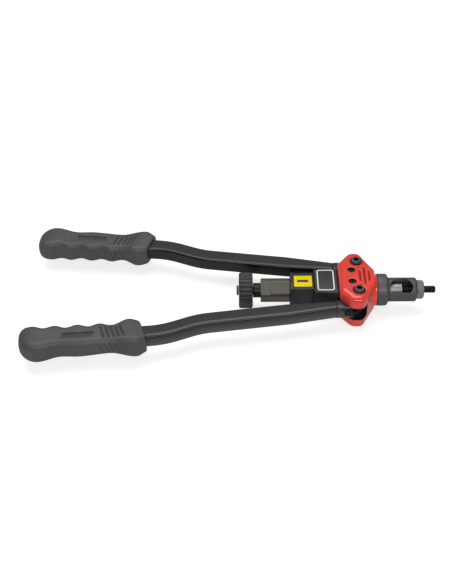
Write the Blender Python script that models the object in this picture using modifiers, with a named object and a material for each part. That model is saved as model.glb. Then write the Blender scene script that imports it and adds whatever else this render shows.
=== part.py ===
# Hand lever rivet nut tool, made of its separate pieces.
# The tool lies flat. Its long axis is X with the mandrel at +X, and the arms swing about upright bolts.
# Inside the script every place is measured from the tool axis, level with the two pivot bolts.
# The last step stands the tool on its lowest point, centred over the origin.

import math

import bmesh
import bpy
from mathutils import Matrix, Vector

MM = 0.001

# Clearances
GAP = 0.3 * MM
RUNNING_GAP = 0.35 * MM

# Corner radius of a slot's round end, as a share of half its width
ROUND_END = 0.98

# Head casting, seen from above and in height
HEAD_REAR_X = -19.4 * MM
HEAD_REAR_HALF_Y = 21.2 * MM
HEAD_LOBE_REAR_X = -7.2 * MM
HEAD_LOBE_FRONT_X = 4.2 * MM
HEAD_LOBE_HALF_Y = 37.1 * MM
HEAD_SHOULDER_X = 12.6 * MM
HEAD_SHOULDER_HALF_Y = 21.2 * MM
HEAD_FRONT_X = 18.4 * MM
HEAD_FRONT_HALF_Y = 10.2 * MM
HEAD_HALF_Z = 20.1 * MM
HEAD_EDGE_BEVEL = 6.0 * MM
HEAD_EDGE_STEPS = 3
HEAD_FRONT_EDGE_SHARE = 0.6
HEAD_CENTRE_X = -3.0 * MM
HEAD_CORNER_RADIUS = 7.0 * MM
HEAD_FRONT_CORNER_RADIUS = 2.5 * MM
HEAD_BOSS_RADIUS = 16.5 * MM
HEAD_BOSS_FRONT_X = 20.1 * MM
ARM_SLOT_HALF_Z = 7.8 * MM
ARM_SLOT_FRONT_X = 8.2 * MM
GROOVE_WIDTH = 1.1 * MM
GROOVE_DEPTH = 0.7 * MM
GROOVE_FIRST_X = 1.2 * MM
GROOVE_PITCH = 4.1 * MM
GROOVE_HALF_LENGTHS = (8.0 * MM, 10.0 * MM, 13.5 * MM)

# Pivot bolts, washers and nuts
PIVOT_Y = 21.5 * MM
PIVOT_SHANK_RADIUS = 3.25 * MM
PIVOT_HEAD_RADIUS = 5.6 * MM
PIVOT_HEAD_HEIGHT = 2.8 * MM
PIVOT_CROWN_SHARE = 0.8
PIVOT_SOCKET_FLATS = 5.0 * MM
PIVOT_SOCKET_DEPTH = 2.0 * MM
WASHER_RADIUS = 6.0 * MM
WASHER_THICKNESS = 1.0 * MM
WASHER_POCKET_DEPTH = 1.5 * MM
NUT_FLATS = 10.0 * MM

# Arm bushes and crank pins
BUSH_WALL = 1.15 * MM
FORK_BOSS_RADIUS = 7.6 * MM
CRANK_BACK = 7.5 * MM
CRANK_OUT = 7.7 * MM
CRANK_PIN_RADIUS = 2.5 * MM
CRANK_BOSS_RADIUS = 5.0 * MM
ARM_SWING_DEG = 40.0

# Draw yoke that the crank pins push along the axis
YOKE_PLATE_HALF_Z = 3.0 * MM
YOKE_BLOCK_HALF_Z = 7.3 * MM
YOKE_BLOCK_HALF_Y = 5.6 * MM
YOKE_FRONT_X = -3.0 * MM
YOKE_PLATE_FRONT_X = -3.4 * MM
YOKE_BLOCK_LENGTH = 14.0 * MM
YOKE_REAR_X = -18.0 * MM
YOKE_TIP_WALL = 1.4 * MM
YOKE_TIP_REAR_X = -14.6 * MM
YOKE_TIP_CORNER_SHARE = 0.6
YOKE_ROOT_OUT = 5.5 * MM
YOKE_ROOT_STEP = 3.2 * MM
YOKE_ROOT_CORNER = 1.8 * MM
YOKE_FRONT_CORNER = 3.0 * MM
PIN_SLOT_REAR_ROOM = 0.45 * MM
PIN_SLOT_FRONT_ROOM = 0.15 * MM
SLIDE_PAD_X = -5.8 * MM
SLIDE_PAD_Y = 8.5 * MM
SLIDE_PAD_RADIUS = 2.4 * MM
SLIDE_PAD_TOP_Z = 10.5 * MM
SET_SCREW_RADIUS = 3.3 * MM
SET_SCREW_TOP_Z = 18.6 * MM
SET_SCREW_SOCKET_FLATS = 2.6 * MM

# Spindle, with its thrust washers, nut, neck and knob
SPINDLE_RADIUS = 4.0 * MM
SPINDLE_COLLAR_RADIUS = 6.0 * MM
SPINDLE_COLLAR_LENGTH = 3.0 * MM
THRUST_WASHER_RADIUS = 7.0 * MM
THRUST_WASHER_THICKNESS = 1.2 * MM
THRUST_NUT_FLATS = 12.0 * MM
THRUST_NUT_LENGTH = 5.5 * MM
SPINDLE_SPIGOT_RADIUS = 3.0 * MM
SPINDLE_SPIGOT_END_X = 27.0 * MM
COUPLING_RADIUS = 4.65 * MM
COUPLING_REAR_X = 16.0 * MM
COUPLING_FRONT_X = 46.8 * MM
MANDREL_RADIUS = 3.9 * MM
MANDREL_TIP_X = 80.8 * MM
MANDREL_CHAMFER = 0.9 * MM
MANDREL_TAIL_RADIUS = 3.0 * MM
MANDREL_TAIL_LENGTH = 14.0 * MM
NECK_RADIUS = 7.5 * MM
NECK_FRONT_X = -91.5 * MM
KNOB_FRONT_X = -106.8 * MM
KNOB_REAR_X = -121.0 * MM
KNOB_RADIUS = 18.45 * MM
KNOB_RIB_HEIGHT = 1.3 * MM
KNOB_RIBS = 24
KNOB_FACE_RECESS = 2.0 * MM
KNOB_RIM_WIDTH = 4.6 * MM
STUB_FLATS = 9.0 * MM
STUB_REAR_X = -123.4 * MM

# Nose housing, lock ring and anvil
NOSE_RADIUS = 12.35 * MM
NOSE_BORE_RADIUS = 6.25 * MM
NOSE_REAR_X = 31.9 * MM
NOSE_FRONT_X = 61.2 * MM
NOSE_CHAMFER = 2.0 * MM
NOSE_STEM_RADIUS = 10.0 * MM
NOSE_STEM_END_X = 10.4 * MM
WINDOW_REAR_X = 34.1 * MM
WINDOW_FRONT_X = 57.3 * MM
WINDOW_WIDTH = 17.6 * MM
WINDOW_TILT_DEG = 36.0
LOCK_RING_REAR_X = 20.4 * MM
LOCK_RING_FRONT_X = 31.6 * MM
LOCK_RING_RADIUS = 16.5 * MM
LOCK_RING_CHAMFER = 2.5 * MM
ANVIL_FLATS = 17.8 * MM
ANVIL_REAR_X = 61.5 * MM
ANVIL_FRONT_X = 68.3 * MM
ANVIL_CHAMFER = 2.0 * MM
ANVIL_STEM_RADIUS = 8.0 * MM
ANVIL_STEM_LENGTH = 3.4 * MM

# Rear body, guide block and sleeve behind the head
REAR_BODY_REAR_X = -44.0 * MM
REAR_BODY_FRONT_HALF_Y = 18.6 * MM
REAR_BODY_REAR_HALF_Y = 17.2 * MM
REAR_BODY_HALF_Z = 13.8 * MM
REAR_BODY_BORE_RADIUS = 8.6 * MM
TIE_SCREW_FROM_EDGE = 3.1 * MM
TIE_SCREW_Y = REAR_BODY_REAR_HALF_Y - TIE_SCREW_FROM_EDGE
TIE_SCREW_Z = REAR_BODY_HALF_Z - TIE_SCREW_FROM_EDGE
TIE_SCREW_RADIUS = 1.4 * MM
TIE_SCREW_HEAD_RADIUS = 2.3 * MM
TIE_SCREW_HEAD_LENGTH = 2.6 * MM
TIE_SCREW_GRIP_LENGTH = 9.0 * MM
BLOCK_REAR_X = -68.6 * MM
BLOCK_HALF_Y = 12.5 * MM
BLOCK_HALF_Z = 12.7 * MM
BLOCK_FLANGE_LENGTH = 3.0 * MM
BLOCK_FLANGE_LIP = 0.6 * MM
BLOCK_SPIGOT_LENGTH = 8.0 * MM
BLOCK_SIDE_RECESS = 0.5 * MM
SLEEVE_RADIUS = 12.2 * MM
SLEEVE_REAR_X = -98.6 * MM
SLEEVE_SPIGOT_RADIUS = 9.0 * MM
SLEEVE_SPIGOT_LENGTH = 12.0 * MM
SLEEVE_FLATS = 21.6 * MM
SLEEVE_FLATS_LENGTH = 9.9 * MM
NECK_POCKET_END_X = -83.0 * MM
GUIDE_BUSH_WALL = 1.6 * MM
GUIDE_BUSH_LENGTH = 12.0 * MM

# Arms: a rectangular tube with one joggle, welded on to a forked knuckle
TUBE_WIDTH = 17.0 * MM
TUBE_FRONT_WIDTH = 11.4 * MM
TUBE_TAPER_START_X = -72.0 * MM
TUBE_HEIGHT = 15.0 * MM
TUBE_CORNER = 2.6 * MM
TUBE_WALL = 2.0 * MM
ARM_LINE_Y = 25.9 * MM
ARM_FRONT_ANGLE_DEG = 8.2
JOGGLE_ANGLE_DEG = 22.8
ARM_REAR_ANGLE_DEG = 4.76
JOGGLE_FRONT_X = -160.2 * MM
JOGGLE_REAR_X = -197.1 * MM
JOGGLE_BEND_RADIUS = 85.0 * MM
FORK_ROOT_X = -20.6 * MM
KNUCKLE_ROOT_LENGTH = 2.6 * MM
KNUCKLE_REAR_X = FORK_ROOT_X - KNUCKLE_ROOT_LENGTH
KNUCKLE_SPIGOT_LENGTH = 20.0 * MM
FORK_HALF_Z = 7.5 * MM

# Grips, measured from their rear end along the arm
GRIP_REAR_X = -337.0 * MM
GRIP_LENGTH = 125.5 * MM
GRIP_END_WALL = 7.0 * MM
GRIP_CREST = 15.0 * MM
GRIP_SCALLOP_DEPTH = 3.1 * MM
GRIP_SCALLOPS = 4
GRIP_FIRST_CREST = 0.103 * GRIP_LENGTH
GRIP_SCALLOP_PITCH = 0.177 * GRIP_LENGTH
GRIP_FLANGE_AT = 0.892 * GRIP_LENGTH
GRIP_FLANGE_INNER = 16.8 * MM
GRIP_FLANGE_DROP = 2.5 * MM
GRIP_SLANT_FROM = 0.75
GRIP_SLANT = 0.23
GRIP_END_ROUND = 8.5 * MM
GRIP_END_SHARE = 0.5
GRIP_PALM_ROUND = 15.0 * MM
GRIP_PALM_SHARE = 0.3
GRIP_FRONT_SHARE = 0.95
GRIP_CORNER = 6.0 * MM
GRIP_GROOVES = 5
GRIP_GROOVE_FIRST = 0.653 * GRIP_LENGTH
GRIP_GROOVE_PITCH = 5.0 * MM
GRIP_GROOVE_WIDTH = 1.7 * MM
GRIP_GROOVE_DEPTH = 0.9 * MM
GRIP_GROOVE_LENGTH = 13.0 * MM
GRIP_GROOVE_OFF_CENTRE = 0.8 * MM
GRIP_GROOVE_SLANT_DEG = 14.0

# Half width on the palm side and half height, each at a share of the grip's length
GRIP_PALM = (
    (0.0, 15.6 * MM), (0.143, 18.2 * MM), (0.315, 13.9 * MM), (0.47, 15.4 * MM), (0.701, 13.6 * MM),
    (0.916, 18.2 * MM), (1.0, 14.2 * MM),
)
GRIP_HALF_HEIGHT = (
    (0.0, 10.6 * MM), (0.127, 12.2 * MM), (0.359, 10.9 * MM), (0.717, 10.6 * MM), (0.9, 12.8 * MM),
    (1.0, 11.2 * MM),
)
GRIP_STATIONS_REAR = (0.0, 0.0094, 0.028, 0.059)
GRIP_STATIONS_FRONT = (0.757, 0.821, 0.892, 0.93, 0.968, 0.991, 1.0)

ROUND_STEPS = 32
SHAFT_STEPS = 24
SMALL_ROUND_STEPS = 16
SCREW_STEPS = 10


for old in list(bpy.data.objects):
    bpy.data.objects.remove(old, do_unlink=True)

tool = bpy.data.collections.new("rivet_nut_tool")
cutters = bpy.data.collections.new("cutters")
bpy.context.scene.collection.children.link(tool)
bpy.context.scene.collection.children.link(cutters)

tool_frame = bpy.data.objects.new("tool_frame", None)
tool.objects.link(tool_frame)


def finish(name, colour, roughness, metallic=0.0):
    material = bpy.data.materials.new(name)
    material.use_nodes = True
    shader = material.node_tree.nodes["Principled BSDF"]
    shader.inputs["Base Color"].default_value = (*colour, 1.0)
    shader.inputs["Roughness"].default_value = roughness
    shader.inputs["Metallic"].default_value = metallic
    return material


RED = (0.62, 0.03, 0.03)
BLACK = (0.012, 0.012, 0.013)
DARK_STEEL = (0.07, 0.075, 0.07)
BRIGHT_STEEL = (0.55, 0.55, 0.54)
OLIVE_STEEL = (0.16, 0.155, 0.13)
CHARCOAL = (0.05, 0.05, 0.055)
BRONZE = (0.42, 0.24, 0.09)


def add_object(name, mesh, parent=tool_frame):
    piece = bpy.data.objects.new(name, mesh)
    tool.objects.link(piece)
    piece.parent = parent
    return piece


def dress(piece, colour, roughness, metallic=0.0, smooth_angle=35.0):
    piece.data.materials.clear()
    piece.data.materials.append(finish(piece.name, colour, roughness, metallic))
    piece.data.shade_smooth()
    piece.data.set_sharp_from_angle(angle=math.radians(smooth_angle))
    return piece


def as_cutter(shape):
    tool.objects.unlink(shape)
    cutters.objects.link(shape)
    shape.hide_render = True
    shape.display_type = "WIRE"
    return shape


def boolean(piece, operation, shape):
    step = piece.modifiers.new(shape.name, "BOOLEAN")
    step.operation = operation
    step.solver = "EXACT"
    step.object = as_cutter(shape)


def cut(piece, shape):
    boolean(piece, "DIFFERENCE", shape)


def unite(piece, shape):
    boolean(piece, "UNION", shape)


def clean_mesh(work, name):
    bmesh.ops.remove_doubles(work, verts=work.verts, dist=0.00001)
    bmesh.ops.recalc_face_normals(work, faces=work.faces)
    mesh = bpy.data.meshes.new(name)
    work.to_mesh(mesh)
    work.free()
    return mesh


def block(name, low, high, parent=tool_frame):
    low, high = Vector(low), Vector(high)
    size = high - low
    work = bmesh.new()
    bmesh.ops.create_cube(work, size=1.0)
    bmesh.ops.scale(work, vec=size, verts=work.verts)
    bmesh.ops.translate(work, vec=(low + high) / 2, verts=work.verts)
    return add_object(name, clean_mesh(work, name), parent)


def soften(piece, width, segments=2, angle=35.0):
    step = piece.modifiers.new("soft_edges", "BEVEL")
    step.width = width
    step.segments = segments
    step.limit_method = "ANGLE"
    step.angle_limit = math.radians(angle)
    step.harden_normals = False
    return piece


# A turned piece: each profile point is (radius, place along the axis), listed from the front end backwards
# down the outer side. A hollow piece closes its profile back along the bore.
def turned(name, profile, along="X", hollow=False, steps=ROUND_STEPS, parent=tool_frame):
    work = bmesh.new()
    points = [work.verts.new((radius, 0.0, place)) for radius, place in profile]
    for first, second in zip(points, points[1:]):
        work.edges.new((first, second))
    if hollow:
        work.edges.new((points[-1], points[0]))
    mesh = bpy.data.meshes.new(name)
    work.to_mesh(mesh)
    work.free()
    piece = add_object(name, mesh, parent)
    if along == "X":
        piece.rotation_euler = (0.0, math.pi / 2, 0.0)
    spin = piece.modifiers.new("turn", "SCREW")
    spin.axis = "Z"
    spin.angle = 2 * math.pi
    spin.steps = steps
    spin.render_steps = steps
    spin.use_merge_vertices = True
    spin.merge_threshold = 0.00001
    spin.use_smooth_shade = True
    return piece


def turned_ring(name, outer, bore, front, rear, along="X", steps=ROUND_STEPS, parent=tool_frame):
    profile = [(outer, front), (outer, rear), (bore, rear), (bore, front)]
    return turned(name, profile, along, True, steps, parent)


# A plain rod or a drill shape between two places along X or Z
def rod(name, radius, low, high, centre=(0.0, 0.0), along="X", steps=SMALL_ROUND_STEPS, parent=tool_frame):
    work = bmesh.new()
    depth = high - low
    bmesh.ops.create_cone(work, cap_ends=True, segments=steps, radius1=radius, radius2=radius, depth=depth)
    bmesh.ops.translate(work, vec=(0.0, 0.0, (low + high) / 2), verts=work.verts)
    if along == "X":
        bmesh.ops.rotate(work, matrix=Matrix.Rotation(math.pi / 2, 3, "Y"), verts=work.verts)
        shift = (0.0, centre[0], centre[1])
    else:
        shift = (centre[0], centre[1], 0.0)
    bmesh.ops.translate(work, vec=shift, verts=work.verts)
    return add_object(name, clean_mesh(work, name), parent)


def hexagon(name, flats, low, high, centre=(0.0, 0.0), along="X", parent=tool_frame):
    return rod(name, flats / math.sqrt(3), low, high, centre, along, 6, parent)


# Corners of a flat outline, each (x, y, radius), turned into points with round corners
def rounded_outline(corners, arc_steps=5):
    points = []
    count = len(corners)
    for index, (x, y, radius) in enumerate(corners):
        here = Vector((x, y))
        before = Vector(corners[index - 1][:2])
        after = Vector(corners[(index + 1) % count][:2])
        to_before = (before - here).normalized()
        to_after = (after - here).normalized()
        half_angle = to_before.angle(to_after) / 2
        if radius <= 0.0 or half_angle > math.radians(88.0):
            points.append(here)
            continue
        centre = here + (to_before + to_after).normalized() * (radius / math.sin(half_angle))
        start = here + to_before * (radius / math.tan(half_angle))
        sweep = (math.pi - 2 * half_angle) * (1 if to_before.cross(to_after) < 0 else -1)
        for step in range(arc_steps + 1):
            turn = Matrix.Rotation(sweep * step / arc_steps, 2)
            points.append(centre + turn @ (start - centre))
    return points


# A flat plate cut from an outline between two heights, as a mesh that can be bevelled or cut
def plate(name, outline, low, high, parent=tool_frame):
    curve = bpy.data.curves.new(name, "CURVE")
    curve.dimensions = "2D"
    curve.fill_mode = "BOTH"
    curve.extrude = (high - low) / 2
    spline = curve.splines.new("POLY")
    spline.points.add(len(outline) - 1)
    for point, place in zip(spline.points, outline):
        point.co = (place[0], place[1], 0.0, 1.0)
    spline.use_cyclic_u = True
    drawn = bpy.data.objects.new(name + "_drawn", curve)
    tool.objects.link(drawn)
    graph = bpy.context.evaluated_depsgraph_get()
    mesh = bpy.data.meshes.new_from_object(drawn.evaluated_get(graph))
    bpy.data.objects.remove(drawn, do_unlink=True)
    bpy.data.curves.remove(curve)
    work = bmesh.new()
    work.from_mesh(mesh)
    bpy.data.meshes.remove(mesh)
    bmesh.ops.translate(work, vec=(0.0, 0.0, (low + high) / 2), verts=work.verts)
    bmesh.ops.remove_doubles(work, verts=work.verts, dist=0.00001)
    bmesh.ops.dissolve_limit(work, angle_limit=0.001, verts=work.verts, edges=work.edges)
    return add_object(name, clean_mesh(work, name), parent)


# Smooth value between (share of the length, value) pairs, for the grip's outlines
def smooth_value(table, place):
    for (start, first), (end, second) in zip(table, table[1:]):
        if place <= end:
            share = max(0.0, (place - start) / (end - start))
            share = share * share * (3 - 2 * share)
            return first + (second - first) * share
    return table[-1][1]


# Points of a rounded rectangle that reaches from -left to +right and from -half_height to +half_height
def rounded_section(left, right, half_height, corner, arc_steps=3):
    corner = min(corner, half_height * 0.95)
    corners = (
        (right, half_height, 0), (-left, half_height, 1), (-left, -half_height, 2), (right, -half_height, 3),
    )
    points = []
    for across, up, quarter in corners:
        centre = Vector((across - math.copysign(corner, across), up - math.copysign(corner, up)))
        for step in range(arc_steps + 1):
            angle = math.pi / 2 * (quarter + step / arc_steps)
            points.append(centre + Vector((math.cos(angle), math.sin(angle))) * corner)
    return points


# A closed skin over a row of rings, with a cap on the first and the last
def loft(name, rings, parent=tool_frame):
    work = bmesh.new()
    rows = [[work.verts.new(point) for point in ring] for ring in rings]
    count = len(rows[0])
    for first, second in zip(rows, rows[1:]):
        for index in range(count):
            after = (index + 1) % count
            work.faces.new((first[index], first[after], second[after], second[index]))
    work.faces.new(rows[0])
    work.faces.new(rows[-1])
    return add_object(name, clean_mesh(work, name), parent)


# One level of the head's outline: the rim wall is upright, and above and below it the edge curves in to a
# flat face. The edge over the nose is sharper than the rest.
def domed_ring(outline, level):
    step = level - 1 if level > 0 else level
    turn = math.pi / 2 * abs(step) / HEAD_EDGE_STEPS
    inset = HEAD_EDGE_BEVEL * (1 - math.cos(turn))
    height = HEAD_HALF_Z - HEAD_EDGE_BEVEL * (1 - math.sin(turn))
    height = math.copysign(height, level - 0.5)
    ring = []
    for index, point in enumerate(outline):
        along = (outline[(index + 1) % len(outline)] - outline[index - 1]).normalized()
        inward = Vector((-along.y, along.x))
        if inward.dot(point - Vector((HEAD_CENTRE_X, 0.0))) > 0:
            inward = -inward
        to_front = (point.x - HEAD_SHOULDER_X) / (HEAD_FRONT_X - HEAD_SHOULDER_X)
        share = 1 - (1 - HEAD_FRONT_EDGE_SHARE) * min(max(to_front, 0.0), 1.0)
        place = point + inward * (inset * share)
        ring.append(Vector((place.x, place.y, height)))
    return ring


# Head casting: a solid clevis whose two cheeks hold the pivot bolts
def make_head():
    half = [
        (HEAD_REAR_X, HEAD_REAR_HALF_Y, HEAD_CORNER_RADIUS),
        (HEAD_LOBE_REAR_X, HEAD_LOBE_HALF_Y, HEAD_CORNER_RADIUS * 1.3),
        (HEAD_LOBE_FRONT_X, HEAD_LOBE_HALF_Y, HEAD_CORNER_RADIUS),
        (HEAD_SHOULDER_X, HEAD_SHOULDER_HALF_Y, HEAD_CORNER_RADIUS * 1.3),
        (HEAD_FRONT_X, HEAD_FRONT_HALF_Y, HEAD_FRONT_CORNER_RADIUS),
    ]
    corners = half + [(x, -y, radius) for x, y, radius in reversed(half)]
    outline = rounded_outline(corners, 3)
    levels = range(-HEAD_EDGE_STEPS, HEAD_EDGE_STEPS + 2)
    head = loft("head_casting", [domed_ring(outline, level) for level in levels])
    boss_rear = HEAD_FRONT_X - 4 * MM
    unite(head, rod("head_boss", HEAD_BOSS_RADIUS, boss_rear, HEAD_BOSS_FRONT_X, steps=ROUND_STEPS))
    reach = HEAD_LOBE_HALF_Y + 5 * MM
    slot_low = (HEAD_REAR_X - 5 * MM, -reach, -ARM_SLOT_HALF_Z)
    cut(head, block("arm_slot", slot_low, (ARM_SLOT_FRONT_X, reach, ARM_SLOT_HALF_Z)))
    bore = NOSE_STEM_RADIUS + GAP
    cut(head, rod("nose_thread", bore, ARM_SLOT_FRONT_X - 2 * MM, HEAD_BOSS_FRONT_X + MM, steps=ROUND_STEPS))
    for side, word in ((1, "upper"), (-1, "lower")):
        place = (0.0, side * PIVOT_Y)
        reach_z = HEAD_HALF_Z + MM
        hole = PIVOT_SHANK_RADIUS + GAP
        cut(head, rod(f"pivot_hole_{word}", hole, -reach_z, reach_z, place, "Z"))
        pocket = HEAD_HALF_Z - WASHER_POCKET_DEPTH
        ring = WASHER_RADIUS + GAP
        cut(head, rod(f"pivot_pocket_top_{word}", ring, pocket, reach_z, place, "Z"))
        cut(head, rod(f"pivot_pocket_base_{word}", ring, -reach_z, -pocket, place, "Z"))
        place = (SLIDE_PAD_X, side * SLIDE_PAD_Y)
        screw = SET_SCREW_RADIUS + GAP
        pad = SLIDE_PAD_RADIUS + GAP
        step_z = SLIDE_PAD_TOP_Z
        cut(head, rod(f"set_screw_hole_top_{word}", screw, step_z, reach_z, place, "Z"))
        cut(head, rod(f"set_screw_hole_base_{word}", screw, -reach_z, -step_z, place, "Z"))
        cut(head, rod(f"pad_hole_{word}", pad, -step_z - MM, step_z + MM, place, "Z"))
        for height, level in ((1, "top"), (-1, "base")):
            start = HEAD_REAR_X - MM
            end = HEAD_REAR_X + TIE_SCREW_GRIP_LENGTH + GAP
            spot = (side * TIE_SCREW_Y, height * TIE_SCREW_Z)
            thread = TIE_SCREW_RADIUS + GAP
            cut(head, rod(f"tie_hole_{level}_{word}", thread, start, end, spot, steps=SCREW_STEPS))
    for index, half_length in enumerate(GROOVE_HALF_LENGTHS):
        x = GROOVE_FIRST_X + index * GROOVE_PITCH
        low = (x - GROOVE_WIDTH / 2, -half_length, HEAD_HALF_Z - GROOVE_DEPTH)
        high = (x + GROOVE_WIDTH / 2, half_length, HEAD_HALF_Z + MM)
        cut(head, block(f"face_groove_{index}", low, high))
    dress(head, RED, 0.3)


# Pivot bolts with button heads and hex sockets, their washers and their nuts
def make_pivots():
    under_head = HEAD_HALF_Z - WASHER_POCKET_DEPTH + 2 * GAP + WASHER_THICKNESS
    head_top = under_head + PIVOT_HEAD_HEIGHT
    washer_low = HEAD_HALF_Z - WASHER_POCKET_DEPTH + GAP
    washer_high = washer_low + WASHER_THICKNESS
    for side, word in ((1, "upper"), (-1, "lower")):
        place = (0.0, side * PIVOT_Y, 0.0)
        crown = PIVOT_HEAD_RADIUS * PIVOT_CROWN_SHARE
        profile = [
            (0.0, head_top), (crown, head_top), (PIVOT_HEAD_RADIUS, head_top - PIVOT_HEAD_HEIGHT * 0.5),
            (PIVOT_HEAD_RADIUS, under_head), (PIVOT_SHANK_RADIUS, under_head),
            (PIVOT_SHANK_RADIUS, -head_top), (0.0, -head_top),
        ]
        bolt = turned(f"pivot_bolt_{word}", profile, "Z", steps=SMALL_ROUND_STEPS)
        bolt.location = place
        socket_floor = head_top - PIVOT_SOCKET_DEPTH
        above = head_top + MM
        cut(bolt, hexagon(f"bolt_socket_{word}", PIVOT_SOCKET_FLATS, socket_floor, above, place[:2], "Z"))
        dress(bolt, DARK_STEEL, 0.35, 0.9)
        for flip, level in ((1, "top"), (-1, "base")):
            low, high = sorted((flip * washer_low, flip * washer_high))
            name = f"pivot_washer_{level}_{word}"
            bore = PIVOT_SHANK_RADIUS + GAP
            ring = turned_ring(name, WASHER_RADIUS, bore, high, low, "Z", SMALL_ROUND_STEPS)
            ring.location = place
            dress(ring, DARK_STEEL, 0.5, 0.9)
        nut = hexagon(f"pivot_nut_{word}", NUT_FLATS, -head_top, -under_head, place[:2], "Z")
        hole = PIVOT_SHANK_RADIUS + GAP
        cut(nut, rod(f"nut_bore_{word}", hole, -above, -under_head + MM, place[:2], "Z"))
        dress(nut, DARK_STEEL, 0.4, 0.9)


# Set screws in the cheeks, each pressing a slide pad on the yoke
def make_slide_guides():
    pad_low = YOKE_PLATE_HALF_Z + GAP
    pad_high = SLIDE_PAD_TOP_Z - GAP
    for side, word in ((1, "upper"), (-1, "lower")):
        place = (SLIDE_PAD_X, side * SLIDE_PAD_Y)
        for flip, level in ((1, "top"), (-1, "base")):
            low, high = sorted((flip * pad_low, flip * pad_high))
            pad = rod(f"slide_pad_{level}_{word}", SLIDE_PAD_RADIUS, low, high, place, "Z")
            dress(pad, BRONZE, 0.4, 0.8)
            low, high = sorted((flip * (SLIDE_PAD_TOP_Z + GAP), flip * SET_SCREW_TOP_Z))
            screw = rod(f"set_screw_{level}_{word}", SET_SCREW_RADIUS, low, high, place, "Z")
            floor = SET_SCREW_TOP_Z - SET_SCREW_RADIUS
            low, high = sorted((flip * floor, flip * (SET_SCREW_TOP_Z + MM)))
            name = f"set_screw_socket_{level}_{word}"
            cut(screw, hexagon(name, SET_SCREW_SOCKET_FLATS, low, high, place, "Z"))
            dress(screw, DARK_STEEL, 0.4, 0.9)


# Rear body bolted on to the cheeks by four long tie screws
def make_rear_body():
    front = HEAD_REAR_X - GAP
    outline = [
        (front, REAR_BODY_FRONT_HALF_Y), (REAR_BODY_REAR_X, REAR_BODY_REAR_HALF_Y),
        (REAR_BODY_REAR_X, -REAR_BODY_REAR_HALF_Y), (front, -REAR_BODY_FRONT_HALF_Y),
    ]
    body = plate("rear_body", outline, -REAR_BODY_HALF_Z, REAR_BODY_HALF_Z)
    soften(body, 1.4 * MM, 1)
    bore = rod("rear_body_bore", REAR_BODY_BORE_RADIUS, REAR_BODY_REAR_X - MM, front + MM, steps=ROUND_STEPS)
    cut(body, bore)
    seat = REAR_BODY_REAR_X + TIE_SCREW_HEAD_LENGTH + GAP
    for side, word in ((1, "upper"), (-1, "lower")):
        for height, level in ((1, "top"), (-1, "base")):
            spot = (side * TIE_SCREW_Y, height * TIE_SCREW_Z)
            shank = TIE_SCREW_RADIUS + GAP
            name = f"tie_clearance_{level}_{word}"
            cut(body, rod(name, shank, seat - MM, front + MM, spot, steps=SCREW_STEPS))
            recess = TIE_SCREW_HEAD_RADIUS + GAP
            name = f"tie_recess_{level}_{word}"
            cut(body, rod(name, recess, REAR_BODY_REAR_X - MM, seat, spot, steps=SCREW_STEPS))
            tip = HEAD_REAR_X + TIE_SCREW_GRIP_LENGTH
            head_front = seat - GAP
            head_rear = head_front - TIE_SCREW_HEAD_LENGTH
            profile = [
                (0.0, tip), (TIE_SCREW_RADIUS, tip), (TIE_SCREW_RADIUS, head_front),
                (TIE_SCREW_HEAD_RADIUS, head_front), (TIE_SCREW_HEAD_RADIUS, head_rear), (0.0, head_rear),
            ]
            screw = turned(f"tie_screw_{level}_{word}", profile, steps=SCREW_STEPS)
            screw.location = (0.0, spot[0], spot[1])
            dress(screw, DARK_STEEL, 0.4, 0.9)
    dress(body, BLACK, 0.4)


# Guide block: a square body with a flanged rear edge, a round spigot in front and a bore for the sleeve
def make_guide_block():
    front = REAR_BODY_REAR_X - GAP
    low = (BLOCK_REAR_X, -BLOCK_HALF_Y, -BLOCK_HALF_Z)
    body = block("guide_block", low, (front, BLOCK_HALF_Y, BLOCK_HALF_Z))
    soften(body, 1.6 * MM)
    lip_y = BLOCK_HALF_Y + BLOCK_FLANGE_LIP
    lip_z = BLOCK_HALF_Z + BLOCK_FLANGE_LIP
    lip_front = BLOCK_REAR_X + BLOCK_FLANGE_LENGTH
    lip = block("block_flange", (BLOCK_REAR_X, -lip_y, -lip_z), (lip_front, lip_y, lip_z))
    soften(lip, 1.0 * MM, 1)
    unite(body, lip)
    spigot = REAR_BODY_BORE_RADIUS - GAP
    unite(body, rod("block_spigot", spigot, front - MM, front + BLOCK_SPIGOT_LENGTH, steps=ROUND_STEPS))
    for side, word in ((1, "upper"), (-1, "lower")):
        inner = side * (BLOCK_HALF_Y - BLOCK_SIDE_RECESS)
        outer = side * (BLOCK_HALF_Y + BLOCK_FLANGE_LIP + MM)
        low_y, high_y = sorted((inner, outer))
        low = (lip_front + 1.2 * MM, low_y, -BLOCK_HALF_Z * 0.45)
        cut(body, block(f"side_recess_{word}", low, (front - 2 * MM, high_y, BLOCK_HALF_Z * 0.45)))
    seat = BLOCK_REAR_X + SLEEVE_SPIGOT_LENGTH + GAP
    cut(body, rod("sleeve_seat", SLEEVE_SPIGOT_RADIUS + GAP, BLOCK_REAR_X - MM, seat, steps=ROUND_STEPS))
    cut(body, rod("block_bore", SPINDLE_RADIUS + RUNNING_GAP, seat - MM, front + BLOCK_SPIGOT_LENGTH + MM))
    dress(body, BLACK, 0.35)


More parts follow.
